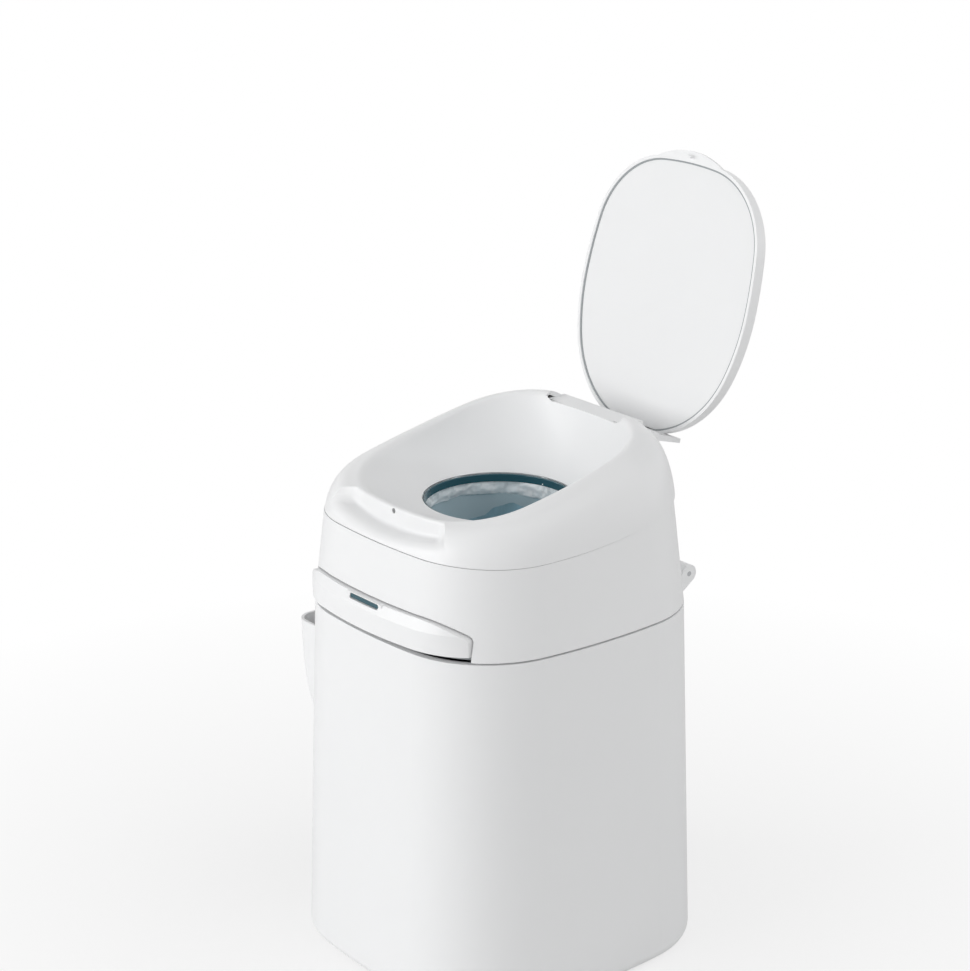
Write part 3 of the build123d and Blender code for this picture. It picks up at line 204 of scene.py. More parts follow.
def turned_steel(name, colour, axis):
    """Drawn steel: fine lines along the piece's axis, with uneven gloss."""
    s = Shader(name)
    place = s.place()
    stretch = [1800.0, 1800.0, 1800.0]
    stretch[axis] = 60.0
    lined = s.add("ShaderNodeMapping", None, place, Scale=stretch).out()
    lines = s.noise(lined, scale=1.0, detail=3.0, roughness=0.6)
    spots = s.noise(place, scale=420.0, detail=3.0, roughness=0.6)
    tone = s.blend_colour(lines * 0.6 + spots * 0.4, rgba(toned(colour, 0.72)), rgba(colour))
    return s.finish(principled(s, Base_Color=tone, Metallic=1.0, Roughness=lines * 0.18 + 0.2,
                               Normal=s.bump(lines, 0.15, 0.00003)))


def soft_rubber(name, colour):
    """Soft elastomer: matt, with a dusty bloom and a pebbled skin."""
    s = Shader(name)
    place = s.place()
    pebble = s.noise(place, scale=1500.0, roughness=0.6)
    bloom = s.noise(place, scale=60.0, detail=3.0, roughness=0.6)
    tone = s.blend_colour(bloom, rgba(colour), rgba(toned(colour, 1.25)))
    return s.finish(principled(s, Base_Color=tone, Roughness=bloom * 0.1 + 0.62,
                               Normal=s.bump(pebble, 0.3, 0.00008), Specular_IOR_Level=0.3))


def thin_film(name, deep, pale, alpha, crinkle, rough):
    """Blown plastic film: long soft streaks of tone, a crinkled gloss and some see-through."""
    s = Shader(name)
    place = s.place()
    drawn = s.add("ShaderNodeMapping", None, place, Scale=(90.0, 90.0, 14.0)).out()
    streaks = s.noise(drawn, scale=1.0, detail=3.0, roughness=0.55, distortion=0.4)
    creases = s.noise(place, scale=260.0, detail=4.0, roughness=0.65, distortion=1.2)
    tone = s.blend_colour((streaks * 1.6 - 0.3).clamp(), rgba(deep), rgba(pale))
    veil = (streaks * 0.25 + (alpha - 0.12)).clamp()
    return s.finish(principled(s, Base_Color=tone, Roughness=creases * 0.25 + (rough - 0.1), Alpha=veil,
                               IOR=1.5, Normal=s.bump(creases, crinkle, 0.0006)))


# ---------------------------------------------------------------- mesh helpers
class GeoTree:
    """A Geometry Nodes tree under construction, with named inputs."""

    def __init__(self, name, **sizes):
        self.tree = bpy.data.node_groups.new(name, "GeometryNodeTree")
        face = self.tree.interface
        face.new_socket("Geometry", in_out="INPUT", socket_type="NodeSocketGeometry")
        face.new_socket("Geometry", in_out="OUTPUT", socket_type="NodeSocketGeometry")
        self.identifiers = {}
        for key, value in sizes.items():
            kind = "NodeSocketInt" if isinstance(value, int) else "NodeSocketFloat"
            socket = face.new_socket(key.replace("_", " "), in_out="INPUT", socket_type=kind)
            socket.default_value = value
            self.identifiers[key] = (socket.identifier, value)
        self.enter = self.tree.nodes.new("NodeGroupInput")
        self.leave = self.tree.nodes.new("NodeGroupOutput")

    def given(self, key):
        """Output of a named input of the tree."""
        return self.enter.outputs[key.replace("_", " ")]

    def plug(self, socket, value):
        if isinstance(value, bpy.types.NodeSocket):
            self.tree.links.new(value, socket)
        else:
            socket.default_value = value

    def add(self, kind, settings=None, **named):
        node = self.tree.nodes.new(kind)
        for key, value in (settings or {}).items():
            setattr(node, key, value)
        for key, value in named.items():
            self.plug(node.inputs[key.replace("_", " ")], value)
        return node

    def maths(self, operation, first, second):
        node = self.tree.nodes.new("ShaderNodeMath")
        node.operation = operation
        for socket, value in zip(node.inputs, (first, second)):
            self.plug(socket, value)
        return node.outputs[0]

    def make(self, name, geometry, finish, host=None):
        """Ends the tree, runs it on a host mesh and returns the plain piece."""
        real = self.add("GeometryNodeRealizeInstances", Geometry=geometry)
        paint = self.add("GeometryNodeSetMaterial", Geometry=real.outputs[0], Material=material(finish))
        self.tree.links.new(paint.outputs[0], self.leave.inputs[0])
        host = host or bpy.data.objects.new(name + "_host", bpy.data.meshes.new(name + "_host"))
        bpy.context.scene.collection.objects.link(host)
        modifier = host.modifiers.new("build", "NODES")
        modifier.node_group = self.tree
        for identifier, value in self.identifiers.values():
            modifier[identifier] = value
        graph = bpy.context.evaluated_depsgraph_get()
        mesh = bpy.data.meshes.new_from_object(host.evaluated_get(graph), depsgraph=graph)
        mesh.name = name
        host.modifiers.remove(modifier)
        bpy.data.objects.remove(host)
        piece = bpy.data.objects.new(name, mesh)
        bpy.context.scene.collection.objects.link(piece)
        return piece


def shade(mesh, angle=40.0):
    """Smooth shading, kept crisp where faces meet at more than an angle."""
    for face in mesh.polygons:
        face.use_smooth = True
    mesh.set_sharp_from_angle(angle=radians(angle))


def piece_of(name, verts, faces, finish, angle=40.0):
    """A finished piece from points and faces, welded, with its faces turned outwards."""
    mesh = bpy.data.meshes.new(name)
    mesh.from_pydata([tuple(v) for v in verts], [], faces)
    mesh.validate()
    mesh.materials.append(material(finish))
    piece = bpy.data.objects.new(name, mesh)
    bpy.context.scene.collection.objects.link(piece)
    b = bmesh.new()
    b.from_mesh(mesh)
    bmesh.ops.remove_doubles(b, verts=b.verts, dist=1e-7)
    bmesh.ops.recalc_face_normals(b, faces=b.faces)
    b.to_mesh(mesh)
    b.free()
    shade(mesh, angle)
    return piece


def loops_to_shell(loops, closed_ends=True):
    """Vertices and faces of a skin through closed loops with the same number of points."""
    count = len(loops[0])
    verts = [point for loop in loops for point in loop]
    faces = []
    for row in range(len(loops) - 1):
        for k in range(count):
            a = row * count + k
            b = row * count + (k + 1) % count
            faces.append((a, b, b + count, a + count))
    if closed_ends:
        for row in (0, len(loops) - 1):
            middle = sum((Vector(p) for p in loops[row]), Vector()) / count
            verts.append(middle)
            tip = len(verts) - 1
            for k in range(count):
                faces.append((row * count + k, row * count + (k + 1) % count, tip))
    return verts, faces


def islands(node):
    """Boxes of a node's separate solids, in the order of their first points, and if the head is on top."""
    weld = 1e-6
    head_band = 0.0004
    b = bmesh.new()
    b.from_mesh(NODES[node].data)
    bmesh.ops.remove_doubles(b, verts=b.verts, dist=weld)
    left = set(b.verts)
    boxes = []
    for seed in b.verts:
        if seed not in left:
            continue
        left.discard(seed)
        group = [seed]
        stack = [seed]
        while stack:
            for edge in stack.pop().link_edges:
                for vert in edge.verts:
                    if vert in left:
                        left.discard(vert)
                        group.append(vert)
                        stack.append(vert)
        low = Vector([min(v.co[i] for v in group) for i in range(3)])
        high = Vector([max(v.co[i] for v in group) for i in range(3)])
        middle = (low + high) / 2
        rim = (high.x - low.x) * 0.4
        at_rim = [v for v in group if hypot(v.co.x - middle.x, v.co.y - middle.y) > rim]
        boxes.append((low, high, sum(v.co.z > high.z - head_band for v in at_rim) > 2))
    b.free()
    return boxes


def around(count):
    """Angles of evenly spaced points round a circle."""
    return [2 * pi * k / count for k in range(count)]


def ripple(angle, cells, seed, height=0.0):
    """Smooth noise that closes on itself around a circle, from -1 to 1."""
    reach = cells / (2 * pi)
    return 2 * noise.noise(Vector((cos(angle) * reach + seed, sin(angle) * reach - seed, height)))


# ---------------------------------------------------------------- sizes and colours
class PailFinish(bpy.types.PropertyGroup):
    """Colours of the plastics and the film."""

    white: FloatVectorProperty(name="White", description="Colour of the white shell", subtype="COLOR",
                               default=(0.86, 0.865, 0.87), min=0, max=1)
    teal: FloatVectorProperty(name="Teal", description="Colour of the dark mouldings", subtype="COLOR",
                              default=(0.025, 0.10, 0.13), min=0, max=1)
    cassette: FloatVectorProperty(name="Cassette", description="Colour of the film cassette", subtype="COLOR",
                                  default=(0.50, 0.62, 0.67), min=0, max=1)
    film: FloatVectorProperty(name="Film", description="Colour of the film", subtype="COLOR",
                              default=(0.28, 0.45, 0.53), min=0, max=1)
    gloss: FloatProperty(name="Roughness", description="Roughness of the white shell", default=0.32,
                         min=0, max=1)


class PailStage(bpy.types.PropertyGroup):
    """Camera and light."""

    azimuth: FloatProperty(name="Azimuth", description="Angle of the camera round the pail", subtype="ANGLE",
                           default=radians(51.007))
    elevation: FloatProperty(name="Elevation", description="Angle of the camera over the horizon",
                             subtype="ANGLE", default=radians(19.897))
    distance: FloatProperty(name="Distance", description="From the camera to the aimed point",
                            subtype="DISTANCE", default=2.0287)
    aim: FloatProperty(name="Aim height", description="Height of the aimed point", subtype="DISTANCE",
                       default=0.310)
    lens: FloatProperty(name="Lens", description="Focal length in millimetres", default=101.98)
    key: FloatProperty(name="Key light", description="Power of the main lamp", default=60.0, unit="POWER")
    top: FloatProperty(name="Top light", description="Power of the lamp overhead", default=12.0, unit="POWER")
    rim: FloatProperty(name="Rim light", description="Power of the lamp behind", default=4.0, unit="POWER")
    fill: FloatProperty(name="Fill light", description="Power of the weak lamp", default=2.0, unit="POWER")
    world: FloatProperty(name="World", description="Strength of the surrounding light", default=0.41)


FINISHES = {
    "shell_white": ("pail_shell", "head_housing", "top_cover", "lid_shell", "drawer_front", "scoop_holder",
                    "pail_hinge_ears", "head_hinge_knuckles", "cover_hinge_lugs"),
    "inner_white": ("gate_base", "cassette_deck", "cutter_housing", "fixed_jaw", "guide_rail_left",
                    "guide_rail_right"),
    "liner_white": ("lid_liner",),
    "dark_teal": ("drawer_plate", "cassette_ring", "release_button"),
    "cassette_grey": ("cassette_body", "film_pack", "film_sleeve", "collection_bag"),
    "pin_steel": ("head_hinge_pins", "cover_hinge_pins", "lid_hinge_pin"),
    "screw_steel": ("base_screws", "deck_screws", "drawer_screws", "cutter_blade"),
    "spring_steel": ("return_spring_left", "return_spring_right", "button_spring"),
    "grey_rubber": ("head_gasket", "lid_gasket", "fixed_jaw_pad", "drawer_jaw_pad"),
}


def material(name):
    return bpy.data.materials[name]


def dress(node, name):
    """Gives a CAD node one finish."""
    mesh = NODES[node].data
    mesh.materials.clear()
    mesh.materials.append(material(name))


# ---------------------------------------------------------------- operators
class PAIL_OT_finishes(bpy.types.Operator):
    """Make the materials and give them to the rigid parts"""

    bl_idname = "pail.finishes"
    bl_label = "Finishes"

    def execute(self, context):
        f = context.scene.pail_finish
        white = tuple(f.white)
        moulded_plastic("shell_white", white, f.gloss, grain=0.12)
        moulded_plastic("inner_white", toned(white, 0.97), f.gloss + 0.12, grain=0.2)
        moulded_plastic("liner_white", toned(white, 0.985), f.gloss + 0.18, grain=0.25)
        moulded_plastic("dark_teal", tuple(f.teal), 0.22, grain=0.08, shift=0.2, coat=0.3)
        moulded_plastic("cassette_grey", tuple(f.cassette), 0.42, grain=0.25, shift=0.06)
        turned_steel("pin_steel", (0.62, 0.63, 0.65), axis=0)
        turned_steel("screw_steel", (0.55, 0.56, 0.58), axis=2)
        turned_steel("spring_steel", (0.50, 0.51, 0.53), axis=1)
        soft_rubber("grey_rubber", (0.30, 0.32, 0.33))
        for finish, nodes in FINISHES.items():
            for node in nodes:
                dress(node, finish)
        return {"FINISHED"}


class PAIL_OT_film(bpy.types.Operator):
    """Make the film sleeve with its bunched collar, the pleated pack and the filled bag"""

    bl_idname = "pail.film"
    bl_label = "Film"

    def execute(self, context):
        f = context.scene.pail_finish
        deep = tuple(f.film)
        thin_film("film_smooth", toned(deep, 0.8), toned(deep, 1.35), alpha=0.93, crinkle=0.35, rough=0.3)
        thin_film("film_frosted", (0.84, 0.92, 0.95), (0.98, 0.99, 1.0), alpha=1.12, crinkle=0.5, rough=0.5)
        self.sleeve()
        self.collar()
        self.pack()
        self.bag()
        return {"FINISHED"}

    def sleeve(self):
        """Film pulled from the cassette over the ring's inner edge and down through the throat."""
        low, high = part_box("film_sleeve")
        radius = (high.x - low.x) / 2
        top = high.z - 0.002
        thick = 0.00025
        rows = 64
        outer = []
        for row in range(rows + 1):
            t = row / rows
            z = top - t * (top - low.z)
            pull = radius - 0.0010 - 0.0068 * t ** 1.3
            loop = []
            for a in around(420):
                broad = ripple(a, 9, 3.1, t * 0.5) * (0.0006 + 0.0022 * t)
                folds = ripple(a, 34, 8.7, t * 0.8) * (0.0003 + 0.0010 * t * t)
                gather = 0.0010 * exp(-t * 9.0) * ripple(a, 90, 5.5, t * 9)
                r = pull + broad + folds + gather
                loop.append([r * cos(a), r * sin(a), z])
            outer.append(loop)
        inner = [[(x - thick * x / hypot(x, y), y - thick * y / hypot(x, y), z) for x, y, z in loop]
                 for loop in outer]
        verts, faces = loops_to_shell(outer + inner[::-1] + [outer[0]], closed_ends=False)
        sleeve = piece_of("film_tube", verts, faces, "film_smooth", 180.0)
        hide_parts("film_sleeve")
        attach(sleeve, "head")

    def collar(self):
        """Film bunched round the throat: frosted, ruffled, with a scalloped upper edge."""
        low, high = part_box("film_sleeve")
        edge = (high.x - low.x) / 2 - 0.0002
        loops = []
        for turn in around(36):
            loop = []
            for a in around(720):
                crest = high.z + 0.0058 + 0.0010 * ripple(a, 15, 21.0) + 0.0009 * ripple(a, 38, 11.0)
                foot = high.z - 0.0112 + 0.0012 * ripple(a, 13, 31.0)
                middle = (crest + foot) / 2
                tall = (crest - foot) / 2
                z = middle + tall * sin(turn)
                fat = 0.0027 + 0.0006 * ripple(a, 23, 41.0)
                ruffle = (0.0007 * ripple(a, 64, 2.0, z * 160) + 0.0004 * ripple(a, 110, 7.0, z * 420)
                          + 0.0004 * ripple(a, 26, 17.0, z * 520))
                r = min(edge - fat + fat * cos(turn) + (ruffle if cos(turn) < 0.2 else 0.0), edge)
                loop.append((r * cos(a), r * sin(a), z))
            loops.append(loop)
        loops.append(loops[0])
        verts, faces = loops_to_shell(loops, closed_ends=False)
        collar = piece_of("film_collar", verts, faces, "film_frosted", 180.0)
        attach(collar, "head")

    def pack(self):
        """Stack of pleats stored in the cassette."""
        low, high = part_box("film_pack")
        outer = (high.x - low.x) / 2
        inner = outer - 0.0233
        wide = (outer - inner) / 2 - 0.0006
        play = 0.002
        pleats = 24
        golden_angle = 2.39996
        pitch = (high.z - low.z - play) / pleats
        loops = []
        for turn in around(10):
            loop = []
            for a in around(144):
                r = (outer + inner) / 2 + wide * cos(turn) + 0.0004 * ripple(a, 30, 5.0)
                z = pitch * 0.42 * sin(turn) + pitch * 0.22 * ripple(a, 20, 15.0)
                loop.append((r * cos(a), r * sin(a), z))
            loops.append(loop)
        loops.append(loops[0])
        verts, faces = loops_to_shell(loops, closed_ends=False)
        pleat = piece_of("pleat_template", verts, faces, "film_smooth", 180.0)
        g = GeoTree("pleated_pack", Pleats=pleats, Pitch=pitch, Bottom=low.z + pitch / 2 + play / 2)
        rise = g.add("ShaderNodeCombineXYZ", Z=g.given("Pitch"))
        start = g.add("ShaderNodeCombineXYZ", Z=g.given("Bottom"))
        line = g.add("GeometryNodeMeshLine", None, Count=g.given("Pleats"), Offset=rise.outputs[0],
                     Start_Location=start.outputs[0])
        source = g.add("GeometryNodeObjectInfo", None, Object=pleat)
        index = g.add("GeometryNodeInputIndex")
        turned = g.add("ShaderNodeCombineXYZ", Z=g.maths("MULTIPLY", index.outputs[0], golden_angle))
        spread = g.add("GeometryNodeInstanceOnPoints", None, Points=line.outputs[0],
                       Instance=source.outputs["Geometry"], Rotation=turned.outputs[0])
        pack = g.make("film_pleats", spread.outputs[0], "film_smooth")
        bpy.data.objects.remove(pleat)
        shade(pack.data, 180.0)
        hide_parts("film_pack")
        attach(pack, "head")

    def bag(self):
        """Filled film tube in the pail, slumped on the floor, its top drawn together."""
        low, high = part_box("collection_bag")
        radius = (high.x - low.x) / 2
        full = radius * 0.985
        tall = high.z - low.z
        shoulder, neck, knot = 0.72, 0.14, 0.78
        rows = 110
        loops = []
        for row in range(rows + 1):
            t = row / rows
            z = low.z + tall * t
            if t < shoulder:
                s = t / shoulder
                body = sqrt(max(0.0, 1 - (1 - min(1.0, s * 5.0)) ** 2)) * (0.93 + 0.07 * sin(pi * s))
                shrink = 1 - 0.30 * max(0.0, s - 0.55) ** 1.6 / 0.45 ** 1.6
                r0 = full * body * shrink
            else:
                s = (t - shoulder) / 0.28
                r0 = full * (neck + (0.655 - neck) * (1 - min(1.0, s * 1.5)) ** 2.2)
                if s > knot:
                    r0 += radius * 0.10 * ((s - knot) / 0.22)
            gather = max(0.0, (t - 0.45) / 0.55)
            sway = 0.0016 if 0.05 < t < 0.97 else 0.0
            loop = []
            for a in around(300):
                lumps = 0.035 * ripple(a, 7, 2.0, t * 5.0) + 0.018 * ripple(a, 15, 9.0, t * 9.0)
                pleats = (0.10 * gather * ripple(a, 40, 4.0, t * 1.5)
                          + 0.05 * gather * ripple(a, 90, 6.0, t * 2.0))
                r = min(r0 * (1 + lumps * (1 - 0.5 * gather) + pleats), radius * 0.998)
                loop.append((r * cos(a), r * sin(a), z + sway * ripple(a, 12, 7.0, t * 4)))
            loops.append(loop)
        verts, faces = loops_to_shell(loops)
        bag = piece_of("film_bag", verts, faces, "film_smooth", 180.0)
        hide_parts("collection_bag")
        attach(bag, "pail")


class PAIL_OT_springs(bpy.types.Operator):
    """Wind the two return springs and the button's spring"""

    bl_idname = "pail.springs"
    bl_label = "Springs"

    def execute(self, context):
        for name, node, wire, turns in (
            ("return_coil_left", "return_spring_left", 0.00042, 38),
            ("return_coil_right", "return_spring_right", 0.00042, 38),
            ("button_coil", "button_spring", 0.00026, 6),
        ):
            low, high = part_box(node)
            radius = (high.x - low.x) / 2
            length = high.y - low.y
            g = GeoTree(name, Radius=radius - wire, Wire=wire, Turns=turns, Length=length - 2 * wire)
            spiral = g.add("GeometryNodeCurveSpiral", None, Resolution=18, Rotations=g.given("Turns"),
                           Start_Radius=g.given("Radius"), End_Radius=g.given("Radius"),
                           Height=g.given("Length"))
            circle = g.add("GeometryNodeCurvePrimitiveCircle", None, Resolution=8, Radius=g.given("Wire"))
            tube = g.add("GeometryNodeCurveToMesh", None, Curve=spiral.outputs[0],
                         Profile_Curve=circle.outputs[0], Fill_Caps=True)
            middle = Vector(((low.x + high.x) / 2, 0, (low.z + high.z) / 2))
            turned = g.add("GeometryNodeTransform", None, Geometry=tube.outputs[0], Rotation=(-pi / 2, 0, 0),
                           Translation=(middle.x, low.y + wire, middle.z))
            coil = g.make(name, turned.outputs[0], "spring_steel")
            shade(coil.data, 60.0)
            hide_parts(node)
            if node == "button_spring":
                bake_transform(coil)
            else:
                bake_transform(coil)
        return {"FINISHED"}


class PAIL_OT_screws(bpy.types.Operator):
    """Set cross-recess pan head screws in the decks and the drawer"""

    bl_idname = "pail.screws"
    bl_label = "Screws"

    def template(self, length, head, core):
        """Screw that points down, with the top of its pan head at the origin."""
        head_height = 0.0018
        pitch = 0.0009
        root = core * 0.72
        profile = [(head * 0.66, 0.0), (head * 0.85, -0.0002), (head * 0.97, -0.0006), (head, -0.0011),
                   (head, -head_height), (core, -head_height)]
        for step in range(int((length - head_height - 0.0016) / pitch)):
            z = -head_height - 0.0004 - step * pitch
            profile += [(root, z), (core, z - pitch * 0.35), (root, z - pitch * 0.7)]
        profile += [(core * 0.6, -length + 0.001), (core * 0.15, -length)]
        angles = around(32)
        loops = []
        # Cross recess: four arms cut into the head
        for depth, reach in ((-0.0014, 0.0002), (-0.0012, 0.55), (-0.00005, 0.62)):
            arms = [(a, head * reach * (0.32 + 0.68 * abs(cos(2 * a)) ** 6)) for a in angles]
            loops.append([(r * cos(a), r * sin(a), depth) for a, r in arms])
        loops += [[(r * cos(a), r * sin(a), z) for a in angles] for r, z in profile]
        verts, faces = loops_to_shell(loops)
        return piece_of("screw_template", verts, faces, "screw_steel", 35.0)

    def execute(self, context):
        for node, body in (("base_screws", "head"), ("deck_screws", "head"), ("drawer_screws", "gate")):
            boxes = islands(node)
            low, high, up = boxes[0]
            template = self.template(high.z - low.z, (high.x - low.x) / 2, (high.x - low.x) / 4)
            places = [((l.x + h.x) / 2, (l.y + h.y) / 2, h.z if up else l.z) for l, h, _ in boxes]
            points = bpy.data.meshes.new("points")
            points.from_pydata(places, [], [])
            host = bpy.data.objects.new("points", points)
            g = GeoTree(node + "_set", Turn=0.0 if up else pi)
            source = g.add("GeometryNodeObjectInfo", None, Object=template)
            index = g.add("GeometryNodeInputIndex")
            turned = g.add("ShaderNodeCombineXYZ", X=g.given("Turn"),
                           Z=g.maths("MULTIPLY", index.outputs[0], 1.3))
            spread = g.add("GeometryNodeInstanceOnPoints", None, Points=g.enter.outputs["Geometry"],
                           Instance=source.outputs["Geometry"], Rotation=turned.outputs[0])
            screws = g.make(node.replace("screws", "fasteners"), spread.outputs[0], "screw_steel", host)
            bpy.data.objects.remove(template)
            shade(screws.data, 35.0)
            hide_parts(node)
            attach(screws, body)
        return {"FINISHED"}


# ---------------------------------------------------------------- hopper cover
# In millimetres. A plan is a height over the seam, a slope and a shift to the rear, then the width, the
# depth, the radius of its bowed sides and the radius of its corners
SEAM = 270.0
HEAD_TAPER = 0.064 / 75
BODY = (58.0, 0.0, 0.0, 240.0, 244.6, 475.0, 75.0)
SHOULDERS = ((95.0, 0.12, 0.0, 215.0, 220.0, 410.0, 66.0), (106.5, 0.17, -1.0, 200.0, 207.0, 366.0, 62.0))
RIDGE = (113.0, 0.24, -4.0, 179.0, 184.0, 322.0, 58.4)
DISH = (94.5, 0.148, -2.0, 150.0, 152.0, 132.0, 62.8)
THROAT_LEVEL = 78.1
THROAT_RADIUS = 56.4
RIDGE_WIDTH = 4.0
WALL = 2.6


def bowed_points(width, depth, bow, corner, per_arc):
    """Points of a closed plan of four bowed sides and tangent corner arcs, from the rear left, clockwise."""
    half_width, half_depth = width / 2, depth / 2
    drop_x, drop_y = bow - half_width, bow - half_depth
    span = hypot(drop_x, drop_y)
    rise = sqrt((bow - corner) ** 2 - span ** 2 / 4)
    cx = -drop_x / 2 + drop_y * rise / span
    cy = -drop_y / 2 + drop_x * rise / span
    stretch = bow / (bow - corner)
    end = (cx * stretch, (cy + drop_y) * stretch - drop_y)
    side = ((cx + drop_x) * stretch - drop_x, cy * stretch)
    arcs = (
        ((0, -drop_y), bow, (-end[0], end[1]), end),
        ((cx, cy), corner, end, side),
        ((-drop_x, 0), bow, side, (side[0], -side[1])),
        ((cx, -cy), corner, (side[0], -side[1]), (end[0], -end[1])),
        ((0, drop_y), bow, (end[0], -end[1]), (-end[0], -end[1])),
        ((-cx, -cy), corner, (-end[0], -end[1]), (-side[0], -side[1])),
        ((drop_x, 0), bow, (-side[0], -side[1]), (-side[0], side[1])),
        ((-cx, cy), corner, (-side[0], side[1]), (-end[0], end[1])),
    )
    points = []
    for centre, radius, start, stop in arcs:
        a = atan2(start[1] - centre[1], start[0] - centre[0])
        b = atan2(stop[1] - centre[1], stop[0] - centre[0])
        turn = (b - a + pi) % (2 * pi) - pi
        for k in range(per_arc):
            t = a + turn * k / per_arc
            points.append((centre[0] + radius * cos(t), centre[1] + radius * sin(t)))
    return points


def circle_points(radius, per_arc):
    """Points of a circle that answer to those of a bowed plan."""
    angles = [radians(112.5) - turn for turn in around(8 * per_arc)]
    return [(radius * cos(a), radius * sin(a)) for a in angles]


def shrunk(plan, inset, drop):
    """A plan moved in and down, with its depth measured along its slope."""
    level, slope, shift, width, depth, bow, corner = plan
    return (level - drop, slope, shift, width - 2 * inset, depth * sqrt(1 + slope ** 2) - 2 * inset,
            bow - inset, corner - inset)


def natural_spline(knots, steps):
    """Dense points of a natural cubic spline through a few knots, with chord-length spacing."""
    count = len(knots)
    at = [0.0]
    for a, b in zip(knots, knots[1:]):
        at.append(at[-1] + (b - a).length)
    gaps = [at[i + 1] - at[i] for i in range(count - 1)]
    bend = [Vector((0, 0, 0)) for _ in knots]
    lower, upper = [0.0] * count, [Vector((0, 0, 0))] * count
    for i in range(1, count - 1):
        slope = (knots[i + 1] - knots[i]) / gaps[i] - (knots[i] - knots[i - 1]) / gaps[i - 1]
        pivot = 2 * (gaps[i] + gaps[i - 1]) - gaps[i - 1] * lower[i - 1]
        lower[i] = gaps[i] / pivot
        upper[i] = (slope * 6 - upper[i - 1] * gaps[i - 1]) / pivot
    for i in range(count - 2, 0, -1):
        bend[i] = upper[i] - bend[i + 1] * lower[i]
    points = []
    for i in range(count - 1):
        h = gaps[i]
        many = steps[i]
        for k in range(many + (i == count - 2)):
            x = h * k / many
            y = h - x
            points.append(bend[i] * (y ** 3 / (6 * h)) + bend[i + 1] * (x ** 3 / (6 * h))
                          + (knots[i] / h - bend[i] * h / 6) * y
                          + (knots[i + 1] / h - bend[i + 1] * h / 6) * x)
    return points


def resample(points, count):
    """A polyline divided evenly by length."""
    at = [0.0]
    for a, b in zip(points, points[1:]):
        at.append(at[-1] + (b - a).length)
    out = []
    j = 0
    for k in range(count + 1):
        want = at[-1] * k / count
        while j < len(at) - 2 and at[j + 1] < want:
            j += 1
        gap = at[j + 1] - at[j]
        out.append(points[j].lerp(points[j + 1], (want - at[j]) / gap if gap > 1e-9 else 0.0))
    return out


def bridge(a, a_way, b, b_way, count, pull):
    """Tangent curve between two points."""
    reach = (b - a).length * pull
    p1 = a + a_way.normalized() * reach
    p2 = b - b_way.normalized() * reach
    return [a * (1 - t) ** 3 + p1 * (3 * t * (1 - t) ** 2) + p2 * (3 * t * t * (1 - t)) + b * t ** 3
            for t in (k / count for k in range(1, count))]


def walked(points, length):
    """Index and point at a length along a polyline."""
    gone = 0.0
    for k in range(len(points) - 1):
        step = (points[k + 1] - points[k]).length
        if gone + step >= length:
            return k, points[k].lerp(points[k + 1], (length - gone) / step)
        gone += step
    return len(points) - 2, points[-1]


def lengths(points):
    """Running length along a polyline."""
    gone = [0.0]
    for a, b in zip(points, points[1:]):
        gone.append(gone[-1] + (b - a).length)
    return gone


def part_of(points, start, end):
    """Stretch of a polyline between two lengths along it."""
    i, first = walked(points, start)
    j, last = walked(points, end)
    return [first] + points[i + 1:j + 1] + [last]


def crossing(a, b, miss_a, miss_b):
    """Point between two others where a signed distance is zero."""
    return a.lerp(b, max(0.0, min(1.0, miss_a / (miss_a - miss_b)))) if miss_a != miss_b else a.copy()


